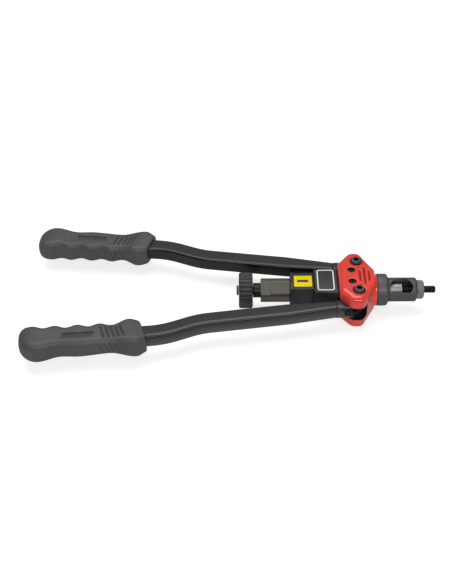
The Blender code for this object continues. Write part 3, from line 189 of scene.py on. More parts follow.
half = TABLE_SIZE / 2
table_mesh = bpy.data.meshes.new("studio_table")
table_corners = [(x * half, y * half, TABLE_Z) for x, y in ((-1, -1), (1, -1), (1, 1), (-1, 1))]
table_mesh.from_pydata(table_corners, [], [(0, 1, 2, 3)])
studio_table = bpy.data.objects.new("studio_table", table_mesh)
scene.collection.objects.link(studio_table)
table_white, shader = new_material("table_white")
tree = table_white.node_tree
away = Value(vector_math("LENGTH", object_place(tree))["Value"])
glow = away.ramp(*GLOW_REACH) * (1.0 - TABLE_GLOW) + (TABLE_GLOW - TABLE_FILL)
feed(shader, {
    "Base Color": (TABLE_GREY, TABLE_GREY, TABLE_GREY, 1.0),
    "Roughness": 0.9,
    "Specular IOR Level": 0.0,
    "Emission Color": WHITE,
    "Emission Strength": camera_ray(tree) * glow + TABLE_FILL,
})
table_mesh.materials.append(table_white)
studio_table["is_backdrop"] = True

# Head casting
# The head is one steel casting, sprayed with red gloss enamel: two cheeks with an arm slot between them and a
# round boss for the nose in front. Its edges are soft from the mould. The holes are drilled afterwards.
MM = 0.001
SIDES = ((1, "upper"), (-1, "lower"))
LEVELS = ((1, "top"), (-1, "base"))
SILHOUETTE_STEPS = 96
HEAD_CORNERS = ((-19.4, 21.2, 7.0), (-7.2, 37.1, 9.1), (4.2, 37.1, 7.0), (12.6, 21.2, 9.1), (18.4, 10.2, 2.5))
HEAD_HALF_Z = 20.1
HEAD_DOME = 6.0
HEAD_DOME_STEPS = 12
HEAD_SHOULDER_X = 12.6
HEAD_FRONT_X = 18.4
HEAD_FRONT_SHARE = 0.6
HEAD_VOXEL = 0.42
SLOT_HALF_Z = 7.8
SLOT_FRONT = 8.2
PIVOT_Y = 21.5
SET_SCREW_PLACE = (-5.8, 8.5)
TIE_SCREW_PLACE = (14.1, 10.7)
FACE_GROOVES = ((2.4, 8.5), (7.0, 13.0), (11.6, 8.0))
ENAMEL_RED = (0.92, 0.062, 0.038)
ENAMEL_DEEP = (0.78, 0.044, 0.030)

knob_low, knob_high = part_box("adjusting_knob")
bolt_low, bolt_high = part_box("pivot_bolt_upper")
TOOL = Vector(((bolt_low.x + bolt_high.x) / 2, 0.0, (knob_low.z + knob_high.z) / 2))
workshop = bpy.data.collections.new("workshop")
scene.collection.children.link(workshop)


# Lays what a bmesh holds on the workshop's bench as a named shape
def bench(name, work, mesh=None):
    mesh = mesh or bpy.data.meshes.new(name)
    work.to_mesh(mesh)
    work.free()
    shape = bpy.data.objects.new(name, mesh)
    workshop.objects.link(shape)
    return shape


# A closed skin over rows of points in millimetres, measured from the tool axis level with the pivot bolts.
# With ring=True the last row joins the first instead of being capped.
def skin(name, rows, ring=False):
    rows = np.asarray(rows, dtype=float)
    count, around = rows.shape[:2]
    faces = []
    for row in range(count if ring else count - 1):
        here, on = row * around, (row + 1) % count * around
        for step in range(around):
            after = (step + 1) % around
            faces.append((here + step, here + after, on + after, on + step))
    if not ring:
        faces.append(tuple(range(around)))
        faces.append(tuple((count - 1) * around + step for step in reversed(range(around))))
    mesh = bpy.data.meshes.new(name)
    mesh.from_pydata([tuple(point) for point in rows.reshape(-1, 3) * MM], [], faces)
    work = bmesh.new()
    work.from_mesh(mesh)
    bmesh.ops.remove_doubles(work, verts=work.verts, dist=0.002 * MM)
    bmesh.ops.recalc_face_normals(work, faces=work.faces)
    return bench(name, work, mesh)


# Flat corners (x, y, radius) turned into points with round corners
def rounded(corners, steps=12, closed=True):
    points = []
    last = len(corners) - 1
    for index, (x, y, radius) in enumerate(corners):
        here = np.array((x, y), dtype=float)
        if radius <= 0.0 or (not closed and index in (0, last)):
            points.append(here)
            continue
        before = np.array(corners[index - 1][:2], dtype=float) - here
        after = np.array(corners[(index + 1) % len(corners)][:2], dtype=float) - here
        room = min(np.linalg.norm(before), np.linalg.norm(after))
        before, after = before / np.linalg.norm(before), after / np.linalg.norm(after)
        half = math.acos(max(-1.0, min(1.0, float(before @ after)))) / 2
        if half > math.radians(88.5):
            points.append(here)
            continue
        radius = min(radius, 0.49 * room * math.tan(half))
        middle = (before + after) / np.linalg.norm(before + after)
        centre = here + middle * (radius / math.sin(half))
        start = here + before * (radius / math.tan(half)) - centre
        sweep = (math.pi - 2 * half) * (1 if before[0] * after[1] - before[1] * after[0] < 0 else -1)
        for step in range(steps + 1):
            angle = sweep * step / steps
            turn = np.array(((math.cos(angle), -math.sin(angle)), (math.sin(angle), math.cos(angle))))
            points.append(centre + turn @ start)
    return np.array(points)


# The profile of a plain rod, or of a tube where it has a bore
def plain(low, high, radius, bore=0.0):
    return [(low, bore), (low, radius), (high, radius), (high, bore)]


# A profile with two like ends, from the half on the positive side, outer end first
def both_ends(half):
    return [(-place, radius) for place, radius in half] + half[::-1]


# A turned piece. The profile lists (place along the axis, radius); hollow pieces close it along the bore.
def lathe(name, profile, along="X", centre=(0.0, 0.0), hollow=False, fillet=0.25, steps=SILHOUETTE_STEPS,
          flip=1):
    profile = [(flip * place, radius, fillet if radius > 0.0 else 0.0) for place, radius in profile]
    line = rounded(profile, 3, hollow)
    turns = np.linspace(0.0, 2 * math.pi, steps, endpoint=False)
    rows = np.zeros((len(line), steps, 3))
    length, across = (0, slice(1, 3)) if along == "X" else (2, slice(0, 2))
    for row, (place, radius) in zip(rows, line):
        row[:, length] = place
        row[:, across] = np.stack((np.cos(turns) * radius, np.sin(turns) * radius), axis=1) + centre
    return skin(name, rows, hollow)


# A flat plate whose top and bottom edges are rounded over; a share below 1 makes the edge narrower there
def soft_plate(name, outline, low, high, edge, steps=4, share=1.0):
    along = np.roll(outline, -1, axis=0) - np.roll(outline, 1, axis=0)
    along /= np.linalg.norm(along, axis=1)[:, None]
    inward = np.stack((-along[:, 1], along[:, 0]), axis=1)
    if np.sum(outline[:, 0] * np.roll(outline[:, 1], -1) - outline[:, 1] * np.roll(outline[:, 0], -1)) < 0:
        inward = -inward
    rows = []
    for height, end in ((low, -1), (high, 1)):
        for step in range(steps + 1):
            turn = math.pi / 2 * (step / steps if end > 0 else 1 - step / steps)
            row = np.zeros((len(outline), 3))
            row[:, :2] = outline + inward * edge * (1 - math.cos(turn)) * share
            row[:, 2] = height - end * edge * (1 - math.sin(turn))
            rows.append(row)
    return skin(name, rows)


# A box with all its edges rounded
def soft_box(name, low, high, radius, segments=3):
    work = bmesh.new()
    bmesh.ops.create_cube(work, size=1.0)
    low, high = Vector(low) * MM, Vector(high) * MM
    bmesh.ops.scale(work, vec=high - low, verts=work.verts)
    bmesh.ops.translate(work, vec=(low + high) / 2, verts=work.verts)
    bmesh.ops.bevel(work, geom=work.edges, offset=radius * MM, segments=segments, profile=0.5, affect="EDGES")
    bmesh.ops.recalc_face_normals(work, faces=work.faces)
    return bench(name, work)


# The piece's mesh with all its modifiers carried out
def settle(shape):
    graph = bpy.context.evaluated_depsgraph_get()
    mesh = bpy.data.meshes.new_from_object(shape.evaluated_get(graph))
    shape.modifiers.clear()
    shape.data = mesh
    return shape


# Cuts the others out of a shape, or joins them to it, and uses them up
def combine(shape, others, operation="DIFFERENCE"):
    for other in others:
        step = shape.modifiers.new(other.name, "BOOLEAN")
        step.operation = operation
        step.solver = "EXACT"
        step.object = other
    settle(shape)
    for other in others:
        bpy.data.objects.remove(other, do_unlink=True)
    return shape


# Hands a finished shape over as a piece: in place, smooth, painted, riding and standing for its CAD node
def hand_over(shape, name, material, body, node=None, angle=35.0):
    workshop.objects.unlink(shape)
    scene.collection.objects.link(shape)
    shape.name = name
    shape.data.name = name
    shape.data.transform(Matrix.Translation(TOOL))
    shape.data.materials.clear()
    shape.data.materials.append(material)
    shape.data.shade_smooth()
    shape.data.set_sharp_from_angle(angle=math.radians(angle))
    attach(shape, body)
    if node:
        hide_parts(node)


def mix_colour(share, first, second):
    sockets = {0: share, 6: first, 7: second}
    return add_node(share.socket.id_data, "ShaderNodeMix", sockets, data_type="RGBA").outputs[2]


def noise(place, scale, detail):
    sockets = {"Vector": place, "Scale": scale, "Detail": detail}
    return Value(add_node(place.id_data, "ShaderNodeTexNoise", sockets).outputs["Fac"])


# An empty node group with its sockets, given as {name: kind}, and its first and last node
def new_group(name, kind, inputs, outputs):
    tree = bpy.data.node_groups.new(name, kind)
    for way, sockets in (("INPUT", inputs), ("OUTPUT", outputs)):
        for socket, kind in sockets.items():
            tree.interface.new_socket(name=socket, in_out=way, socket_type="NodeSocket" + kind)
    return tree, tree.nodes.new("NodeGroupInput").outputs, tree.nodes.new("NodeGroupOutput")


# Shader group with patches, grain and worn edges; the material adds the shader and the bump itself
def make_surface_group():
    inputs = dict.fromkeys(("Colour", "Patch Colour", "Worn Colour"), "Color")
    inputs |= dict.fromkeys(("Roughness", "Patches", "Grain", "Spread", "Wear"), "Float")
    outputs = {"Colour": "Color", "Roughness": "Float", "Height": "Float"}
    tree, given, result = new_group("surface_detail", "ShaderNodeTree", inputs, outputs)
    place = object_place(tree)
    patch = noise(place, given["Patches"], 3.0)
    grain = noise(place, given["Grain"], 2.0)
    toned = mix_colour(patch.ramp(0.35, 0.65), given["Colour"], given["Patch Colour"])
    soft = add_node(tree, "ShaderNodeBevel", {"Radius": 0.5 * MM}, samples=4).outputs[0]
    normal = add_node(tree, "ShaderNodeNewGeometry").outputs["Normal"]
    edge = Value(vector_math("DOT_PRODUCT", soft, normal)["Value"]).ramp(0.995, 0.93)
    worn = edge * grain.ramp(0.42, 0.6) * given["Wear"]
    feed(result, {
        "Colour": mix_colour(worn, toned, given["Worn Colour"]),
        "Roughness": (patch - 0.5) * given["Spread"] + given["Roughness"],
        "Height": grain,
    })
    return tree


SURFACE = make_surface_group()


def grey(value):
    return (value, value, value)


# A finish from the surface group: the scales of its patches and grain, the spread of its roughness, and how
# far its edges wear to the worn colour. Returns the material, its shader, the group and the bump node.
def finish(name, colour, patch, roughness, metallic=0.0, bump=0.1, depth=0.02, worn=grey(0.6), **scales):
    material, shader = new_material(name)
    sockets = {"Colour": (*colour, 1.0), "Patch Colour": (*patch, 1.0), "Worn Colour": (*worn, 1.0)}
    sockets |= {"Roughness": roughness} | {scale.title(): value for scale, value in scales.items()}
    detail = add_node(material.node_tree, "ShaderNodeGroup", sockets, node_tree=SURFACE)
    sockets = {"Strength": bump, "Distance": depth * MM, "Height": detail.outputs["Height"]}
    relief = add_node(material.node_tree, "ShaderNodeBump", sockets)
    feed(shader, {
        "Base Color": detail.outputs["Colour"],
        "Roughness": detail.outputs["Roughness"],
        "Normal": relief.outputs["Normal"],
        "Metallic": metallic,
    })
    return material, shader, detail, relief


def split(vector):
    return [Value(part) for part in add_node(vector.id_data, "ShaderNodeSeparateXYZ", {0: vector}).outputs]


# The place on the tool in millimetres, as x, y and z
def tool_place(material):
    away = vector_math("SUBTRACT", object_place(material.node_tree), TOOL)[0]
    return split(vector_math("MULTIPLY", away, (1.0 / MM,) * 3)[0])


# Distance from an upright axis at x and at both +y and -y
def bore_distance(place, x, y):
    along = place[0] - x
    across = abs(place[1]) - y
    return (along * along + across * across).do("SQRT")


half_outline = list(HEAD_CORNERS) + [(x, -y, radius) for x, y, radius in reversed(HEAD_CORNERS)]
outline = rounded(half_outline, 14)
to_front = np.clip((outline[:, :1] - HEAD_SHOULDER_X) / (HEAD_FRONT_X - HEAD_SHOULDER_X), 0.0, 1.0)
share = 1.0 - (1.0 - HEAD_FRONT_SHARE) * to_front
head = soft_plate("head_casting", outline, -HEAD_HALF_Z, HEAD_HALF_Z, HEAD_DOME, HEAD_DOME_STEPS, share)
combine(head, [lathe("head_boss", plain(13.0, 20.1, 16.5), fillet=0.7)], "UNION")
profile = [(6.0, 0.0), (6.0, 10.3), (19.4, 10.3), (22.0, 12.9), (22.0, 0.0)]
head_cutters = [
    soft_box("arm_slot", (-30.0, -45.0, -SLOT_HALF_Z), (SLOT_FRONT, 45.0, SLOT_HALF_Z), 1.6),
    lathe("nose_bore", profile, fillet=0.0),
]
pivot_bore = both_ends([(21.0, 0.0), (21.0, 6.9), (19.9, 6.3), (18.6, 6.3), (18.6, 3.55)])
screw_bore = both_ends([(21.0, 0.0), (21.0, 4.2), (19.6, 3.6), (10.5, 3.6), (10.5, 2.7)])
for side, word in SIDES:
    for name, bore, (x, y) in (("pivot", pivot_bore, (0.0, PIVOT_Y)), ("screw", screw_bore, SET_SCREW_PLACE)):
        head_cutters.append(lathe(f"{name}_bore_{word}", bore, "Z", (x, side * y), fillet=0.0))
    for flip, level in LEVELS:
        spot = (side * TIE_SCREW_PLACE[0], flip * TIE_SCREW_PLACE[1])
        name = f"tie_bore_{level}_{word}"
        head_cutters.append(lathe(name, plain(-22.0, -10.1, 1.7), centre=spot, fillet=0.0, steps=24))
for x, half_length in FACE_GROOVES:
    low, high = (x - 0.75, -half_length, HEAD_HALF_Z - 1.2), (x + 0.75, half_length, HEAD_HALF_Z + 2.0)
    head_cutters.append(soft_box(f"face_groove_{x}", low, high, 0.3, 2))
combine(head, head_cutters)
recast = head.modifiers.new("recast", "REMESH")
recast.mode = "VOXEL"
recast.voxel_size = HEAD_VOXEL * MM
recast.adaptivity = 0.0
rubbed = head.modifiers.new("rubbed", "SMOOTH")
rubbed.factor = 0.5
rubbed.iterations = 4
settle(head)
red_gloss, shader, detail, _ = finish(
    "red_gloss", ENAMEL_RED, ENAMEL_DEEP, 0.3, bump=0.25, depth=0.04,
    worn=(0.78, 0.10, 0.08), patches=38.0, grain=420.0, spread=0.12, wear=0.25,
)
# The set-screw bores are bare and oiled dark. A painted shadow rings each pivot counterbore, and the slot's
# inner faces are coloured near black. The face grooves are deeper red, from pooled enamel and painted shade.
x, y, z = tool_place(red_gloss)
slot = abs(z).ramp(SLOT_HALF_Z + 0.35, SLOT_HALF_Z + 0.1) * x.ramp(SLOT_FRONT + 0.7, SLOT_FRONT + 0.3)
# Painted shadow: a dark ring round each pivot counterbore
pivot_shadow = bore_distance((x, y), 0.0, PIVOT_Y).ramp(6.7, 6.4)
bare_and_shaded = bore_distance((x, y), *SET_SCREW_PLACE).ramp(4.1, 3.8).do("MAXIMUM", pivot_shadow).do("MAXIMUM", slot)
# Pooled enamel and painted shade: the face grooves are coloured deeper red
groove_shade = abs(z).ramp(19.98, 19.5) * abs(y).ramp(14.2, 13.8) * abs(x - FACE_GROOVES[1][0]).ramp(5.6, 5.2)
colour = mix_colour(groove_shade, detail.outputs["Colour"], (0.30, 0.004, 0.004, 1.0))
feed(shader, {
    "Base Color": mix_colour(bare_and_shaded, colour, (0.014, 0.012, 0.012, 1.0)),
    "Specular IOR Level": 0.2,
    "Coat Weight": bare_and_shaded.ramp(1.15, 0.0),
    "Coat Roughness": 0.05,
})
hand_over(head, "head_red_casting", red_gloss, "head", "head_casting", 60.0)

# Pivot bolts, washers and nuts
# Two hardened button-head bolts clamp the cheeks through the arms, each on a turned washer, with a hexagon
# nut underneath. They are turned steel with a black oxide finish that shows bare metal on its edges.
BOLT_HEAD = 5.6
BOLT_SHANK = 3.25
BOLT_TOP = 23.0
BOLT_SEAT = 20.2
BOLT_SOCKET_FLATS = 5.0
BOLT_SOCKET_FLOOR = 21.0
WASHER_OUTER = 6.0
WASHER_LOW = 18.9
WASHER_HIGH = 19.9
NUT_FLATS = 10.0


# A hexagonal bar; with a chamfer its corners are turned off at both ends
def hex_bar(name, flats, low, high, centre=(0.0, 0.0), along="Z", chamfer=0.0):
    corner = flats / math.sqrt(3)
    bar = lathe(name, plain(low, high, corner), along, centre, fillet=0.0, steps=6)
    if chamfer:
        face = flats / 2
        shape = [(low, 0.0), (low, face), (low + chamfer, corner + 0.3), (high - chamfer, corner + 0.3)]
        shape += [(high, face), (high, 0.0)]
        turned = lathe(name + "_turned", shape, along, centre, fillet=0.0, steps=72)
        combine(bar, [turned], "INTERSECT")
    return bar


bolt_oxide, shader, detail, _ = finish(
    "bolt_oxide", (0.160, 0.142, 0.140), (0.090, 0.080, 0.080), 0.36, 0.9, 0.35, 0.012,
    worn=grey(0.26), patches=240.0, grain=2600.0, spread=0.3, wear=0.9,
)
# The sockets are darker with oil and shade
x, y, z = tool_place(bolt_oxide)
socket = bore_distance((x, y), 0.0, PIVOT_Y).ramp(2.95, 2.55) * z.ramp(20.0, 20.5)
feed(shader, {"Base Color": mix_colour(socket, detail.outputs["Colour"], (0.008, 0.007, 0.007, 1.0))})
bolt_profile = [(BOLT_TOP, 0.0), (BOLT_TOP, 4.3), (22.3, 5.25), (21.6, BOLT_HEAD), (BOLT_SEAT, BOLT_HEAD)]
bolt_profile += [(BOLT_SEAT, BOLT_SHANK), (-BOLT_TOP, BOLT_SHANK), (-BOLT_TOP, 0.0)]
mouth_profile = [(22.6, 0.0), (22.6, 2.45), (23.2, 3.15), (25.0, 3.15), (25.0, 0.0)]
nut_bore = [(-24.0, 0.0), (-24.0, 4.3), (-22.4, 3.55), (-20.8, 3.55), (-19.0, 4.6), (-19.0, 0.0)]
washer_profile = plain(WASHER_LOW, WASHER_HIGH, WASHER_OUTER, BOLT_SHANK + 0.3)
for side, word in SIDES:
    place = (0.0, side * PIVOT_Y)
    bolt = lathe(f"bolt_{word}", bolt_profile, "Z", place, fillet=0.3)
    socket = hex_bar("socket", BOLT_SOCKET_FLATS, BOLT_SOCKET_FLOOR, 25.0, place)
    combine(bolt, [socket, lathe("mouth", mouth_profile, "Z", place, fillet=0.0, steps=48)])
    hand_over(bolt, f"button_bolt_{word}", bolt_oxide, "head", f"pivot_bolt_{word}", 30.0)
    for flip, level in LEVELS:
        part = f"{level}_{word}"
        washer = lathe("washer", washer_profile, "Z", place, True, 0.15, flip=flip)
        hand_over(washer, "turned_washer_" + part, bolt_oxide, "head", "pivot_washer_" + part)
    nut = hex_bar(f"nut_{word}", NUT_FLATS, -BOLT_TOP, -BOLT_SEAT, place, "Z", 0.55)
    combine(nut, [lathe("nut_bore", nut_bore, "Z", place, fillet=0.0)])
    hand_over(nut, f"hex_nut_{word}", bolt_oxide, "head", f"pivot_nut_{word}", 25.0)

# Set screws and slide pads
# Four short grub screws press bronze pads on the draw yoke so that it slides without play. They are screwed
# in from both cheeks until they lie below the paint, and their sockets are black inside.
SET_SCREW_RADIUS = 3.3
SET_SCREW_TOP = 18.6
SET_SCREW_FOOT = 10.8
SET_SOCKET_FLATS = 2.6
SET_SOCKET_FLOOR = 15.3
PAD_RADIUS = 2.4
PAD_LOW = 3.3
PAD_HIGH = 10.2

grub_oxide, *_ = finish(
    "grub_oxide", grey(0.045), grey(0.025), 0.42, 0.85, 0.3, 0.012,
    worn=grey(0.16), patches=300.0, grain=2600.0, spread=0.2, wear=0.7,
)
pad_bronze, *_ = finish(
    "pad_bronze", (0.26, 0.145, 0.055), (0.19, 0.10, 0.04), 0.4, 0.9, 0.2, 0.01,
    worn=(0.6, 0.38, 0.16), patches=220.0, grain=1800.0, spread=0.2, wear=0.3,
)
grub_profile = [(SET_SCREW_TOP, 0.0), (SET_SCREW_TOP, 2.6), (SET_SCREW_TOP - 0.7, SET_SCREW_RADIUS)]
grub_profile += [(SET_SCREW_FOOT, SET_SCREW_RADIUS), (SET_SCREW_FOOT, 0.0)]
for side, word in SIDES:
    place = (SET_SCREW_PLACE[0], side * SET_SCREW_PLACE[1])
    for flip, level in LEVELS:
        part = f"{level}_{word}"
        screw = lathe("grub", grub_profile, "Z", place, fillet=0.2, steps=64, flip=flip)
        floor, mouth = flip * SET_SOCKET_FLOOR, flip * (SET_SCREW_TOP + 1.0)
        combine(screw, [hex_bar("grub_socket", SET_SOCKET_FLATS, floor, mouth, place)])
        hand_over(screw, "grub_screw_" + part, grub_oxide, "head", "set_screw_" + part,
                  30.0)
        profile = plain(PAD_LOW, PAD_HIGH, PAD_RADIUS)
        pad = lathe("pad", profile, "Z", place, fillet=0.35, steps=48, flip=flip)
        hand_over(pad, "bronze_pad_" + part, pad_bronze, "head", "slide_pad_" + part)

# Rear body and its white frame
# A milled block behind the head, painted satin black with a fine grain. A white rounded line is printed
# round the bare panel on its top. Four long tie screws with sunk heads pull it against the casting.
BODY_FRONT = -19.7
BODY_REAR = -44.0
BODY_HALF_FRONT = 18.6
BODY_HALF_REAR = 17.2
BODY_HALF_Z = 13.8
BODY_EDGE = 1.5
BODY_BORE = 8.6
PANEL_REAR = -41.0
PANEL_FRONT = -23.6
PANEL_HALF_Y = 15.4
PANEL_CORNER = 2.8
PANEL_LINE = 1.15
PANEL_RAISED = 0.09


def rectangle(x_low, x_high, y_low, y_high, radius, steps):
    corners = ((x_high, y_high), (x_low, y_high), (x_low, y_low), (x_high, y_low))
    return rounded([(x, y, radius) for x, y in corners], steps)


corners = [(BODY_FRONT, BODY_HALF_FRONT), (BODY_REAR, BODY_HALF_REAR), (BODY_REAR, -BODY_HALF_REAR)]
corners = [(x, y, BODY_EDGE) for x, y in corners + [(BODY_FRONT, -BODY_HALF_FRONT)]]
body = soft_plate("rear_body", rounded(corners, 5), -BODY_HALF_Z, BODY_HALF_Z, BODY_EDGE)
profile = [(-46.0, 0.0), (-46.0, 10.2), (-43.2, BODY_BORE), (-20.4, BODY_BORE), (-18.0, 10.6), (-18.0, 0.0)]
body_cutters = [lathe("body_bore", profile, fillet=0.0)]
satin_black, *_ = finish(
    "satin_black", (0.030, 0.030, 0.033), (0.018, 0.018, 0.020), 0.42, 0.0, 0.55, 0.05,
    worn=grey(0.12), patches=70.0, grain=1500.0, spread=0.2, wear=0.35,
)
hole = [(-46.0, 0.0), (-46.0, 3.0), (-43.6, 2.6), (-41.1, 2.6), (-41.1, 1.7), (-18.0, 1.7), (-18.0, 0.0)]
tie = [(-10.4, 0.0), (-10.4, 1.0), (-10.9, 1.4), (-41.4, 1.4), (-41.4, 2.3), (-44.0, 2.3), (-44.0, 0.0)]
for side, word in SIDES:
    for flip, level in LEVELS:
        spot = (side * TIE_SCREW_PLACE[0], flip * TIE_SCREW_PLACE[1])
        part = f"{level}_{word}"
        body_cutters.append(lathe("tie_hole", hole, centre=spot, fillet=0.0, steps=40))
        screw = lathe("tie", tie, centre=spot, fillet=0.15, steps=40)
        combine(screw, [hex_bar("tie_socket", 2.0, -45.0, -42.6, spot, "X")])
        hand_over(screw, "long_tie_screw_" + part, bolt_oxide, "head", "tie_screw_" + part,
                  30.0)
combine(body, body_cutters)
hand_over(body, "rear_body_milled", satin_black, "head", "rear_body")

white_ink, *_ = finish(
    "white_ink", (0.95, 0.95, 0.94), (0.88, 0.88, 0.87), 0.5, 0.0, 0.2, 0.01,
    patches=300.0, grain=1500.0, spread=0.1,
)
lines = []
for inset in (0.0, PANEL_LINE):
    half = PANEL_HALF_Y - inset
    lines.append(rectangle(PANEL_REAR + inset, PANEL_FRONT - inset, -half, half, PANEL_CORNER - inset, 10))
low, high = BODY_HALF_Z - 0.05, BODY_HALF_Z + PANEL_RAISED
ring = np.zeros((4, len(lines[0]), 3))
for row, inner, height in zip(ring, (0, 0, 1, 1), (low, high, high, low)):
    row[:, :2] = lines[inner]
    row[:, 2] = height
hand_over(skin("panel_line", ring, True), "panel_white_frame", white_ink, "head")

# Guide block and its label
# A machined block, painted satin black: a flat top plate and a square flange at the rear stand proud of a
# core that is rounded below. The yellow label on top is a plastic foil with a plain dark bar and no text.
BLOCK_REAR = -68.6
BLOCK_FRONT = -44.3
BLOCK_HALF_Y = 12.5
BLOCK_HALF_Z = 12.7
FLANGE_FRONT = -65.0
CORE_HALF_Y = 11.6
CORE_TOP = 11.0
CORE_ROUND = 5.5
FLANGE_LIP = 0.6
LABEL = (-64.6, -46.2, -8.6, 7.7)
LABEL_BAR = (-61.4, -50.0, -2.1, 1.4)
FOIL = 0.1


# Rounds a shape's edges that are sharper than the angle
def soften(shape, width, segments=2, angle=30.0):
    step = shape.modifiers.new("soft_edges", "BEVEL")
    step.width = width * MM
    step.segments = segments
    step.limit_method = "ANGLE"
    step.angle_limit = math.radians(angle)
    return settle(shape)


core = [(CORE_HALF_Y, CORE_TOP, 0.5), (-CORE_HALF_Y, CORE_TOP, 0.5)]
core += [(-CORE_HALF_Y, -BLOCK_HALF_Z, CORE_ROUND), (CORE_HALF_Y, -BLOCK_HALF_Z, CORE_ROUND)]
core = rounded(core, 14)
guide = skin("guide_block", [[(x, y, z) for y, z in core] for x in (FLANGE_FRONT - 2.0, BLOCK_FRONT)])
low, high = (FLANGE_FRONT - 2.0, -BLOCK_HALF_Y, CORE_TOP - 0.6), (BLOCK_FRONT, BLOCK_HALF_Y, BLOCK_HALF_Z)
plate = soft_box("top_plate", low, high, 0.8)
lip_y, lip_z = BLOCK_HALF_Y + FLANGE_LIP, BLOCK_HALF_Z + FLANGE_LIP
flange = soft_box("flange", (BLOCK_REAR, -lip_y, -lip_z), (FLANGE_FRONT, lip_y, lip_z), 0.9)
profile = [(-46.0, 0.0), (-46.0, 8.3), (-36.8, 8.3), (-36.3, 7.8), (-36.3, 0.0)]
combine(guide, [plate, flange, lathe("spigot", profile, fillet=0.0)], "UNION")
profile = [(-71.0, 0.0), (-71.0, 11.2), (-68.3, 9.3), (-56.3, 9.3), (-56.3, 4.35), (-35.0, 4.35),
           (-35.0, 0.0)]
combine(guide, [lathe("sleeve_seat", profile, fillet=0.0)])
soften(guide, 0.25, 2, 50.0)
hand_over(guide, "guide_block_milled", satin_black, "head", "guide_block")

foil_scales = {"patches": 160.0, "grain": 700.0, "spread": 0.15}
foil_yellow, shader, *_ = finish(
    "foil_yellow", (0.93, 0.73, 0.004), (0.86, 0.66, 0.004), 0.35, 0.0, 0.15, **foil_scales,
)
feed(shader, {"Specular IOR Level": 0.15})
foil_dark, *_ = finish(
    "foil_dark", (0.035, 0.03, 0.025), (0.05, 0.045, 0.03), 0.4, 0.0, 0.15, **foil_scales,
)
for name, material, sides, floor in (
    ("blank_yellow_label", foil_yellow, LABEL, BLOCK_HALF_Z - 0.02),
    ("label_dark_bar", foil_dark, LABEL_BAR, BLOCK_HALF_Z + FOIL - 0.03),
):
    foil = soft_plate(name, rectangle(*sides, 0.5, 4), floor, floor + FOIL, 0.02, 2)
    hand_over(foil, name, material, "head")

# Guide sleeve and bush
# A bare steel tube, turned on a lathe and left with an olive oxide tone. A shallow facet is milled along it
# on two opposite sides, with deeper wrench flats at the rear. A bronze bush pressed in its front end
# carries the spindle.
SLEEVE_RADIUS = 12.2
SLEEVE_FRONT = -68.9
SLEEVE_REAR = -98.6
SLEEVE_FLATS = ((9.5, -88.7), (10.4, -68.0))
SLEEVE_TILT_DEG = 33.0
SPINDLE_BORE = 4.35


# Shader group with the fine ring marks that a lathe leaves round the tool axis
def make_turning_group():
    tree, given, result = new_group("turning_marks", "ShaderNodeTree", {"Scale": "Float"},
                                    {"Height": "Float"})
    x, y, z = split(vector_math("SUBTRACT", object_place(tree), (0.0, TOOL.y, TOOL.z))[0])
    line = add_node(tree, "ShaderNodeCombineXYZ", {0: x, 1: (y * y + z * z).do("SQRT")}).outputs[0]
    feed(result, {"Height": noise(line, given["Scale"], 2.0)})
    return tree


TURNING = make_turning_group()


# A finish for turned steel, with ring marks on top of the grain
def turned_finish(name, colour, patch, roughness, metallic, ring, **scales):
    material, shader, _, relief = finish(name, colour, patch, roughness, metallic, 0.2, 0.01, **scales)
    marks = add_node(material.node_tree, "ShaderNodeGroup", {"Scale": 1500.0}, node_tree=TURNING)
    sockets = {"Strength": ring, "Distance": 0.02 * MM, "Height": marks.outputs[0],
               "Normal": relief.outputs[0]}
    feed(shader, {"Normal": add_node(material.node_tree, "ShaderNodeBump", sockets).outputs[0]})
    return material


def tilt(shape, degrees):
    shape.data.transform(Matrix.Rotation(math.radians(degrees), 4, "X"))
    return shape


olive_steel = turned_finish(
    "olive_steel", (0.188, 0.177, 0.158), (0.150, 0.141, 0.123), 0.42, 0.85, 0.5,
    worn=(0.36, 0.35, 0.31), patches=55.0, grain=1400.0, spread=0.25, wear=0.6,
)
profile = [(-56.6, 6.25), (-56.6, 9.0), (SLEEVE_FRONT, 9.0), (SLEEVE_FRONT, 11.7), (-69.4, SLEEVE_RADIUS)]
profile += [(-98.0, SLEEVE_RADIUS), (SLEEVE_REAR, 11.6), (SLEEVE_REAR, 7.85), (-83.0, 7.85)]
profile += [(-83.0, SPINDLE_BORE), (-68.9, SPINDLE_BORE), (-68.9, 6.25)]
sleeve = lathe("sleeve", profile, hollow=True, fillet=0.12)
flats = []
for flip in (1, -1):
    for height, front in SLEEVE_FLATS:
        low_z, high_z = sorted((flip * height, flip * 14.0))
        flat = soft_box("flat", (-100.0, -14.0, low_z), (front, 14.0, high_z), 0.4)
        flats.append(tilt(flat, SLEEVE_TILT_DEG))
combine(sleeve, flats)
hand_over(sleeve, "turned_sleeve", olive_steel, "head", "guide_sleeve", 30.0)
bush = lathe("bush", plain(-56.6, -68.6, 5.95, SPINDLE_BORE), hollow=True)
hand_over(bush, "spindle_bush", pad_bronze, "head", "guide_bush")

# Draw yoke and thrust parts
# The yoke is ground steel plate with a block in its middle. Two hardened washers and a nut hold the spindle
# in it, so that it pulls the spindle back without stopping it from turning.
THRUST_RADIUS = 7.0
THRUST_THICK = 1.2


# A copy of a CAD node with its triangles joined to flat faces again and its edges rounded
def refined(node, width):
    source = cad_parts[node]
    mesh = source.data.copy()
    mesh.transform(Matrix.Translation(-TOOL) @ source.matrix_world)
    work = bmesh.new()
    work.from_mesh(mesh)
    bmesh.ops.remove_doubles(work, verts=work.verts, dist=0.002 * MM)
    bmesh.ops.dissolve_limit(work, angle_limit=0.02, verts=work.verts, edges=work.edges)
    return soften(bench(node + "_fine", work, mesh), width, 2, 32.0)
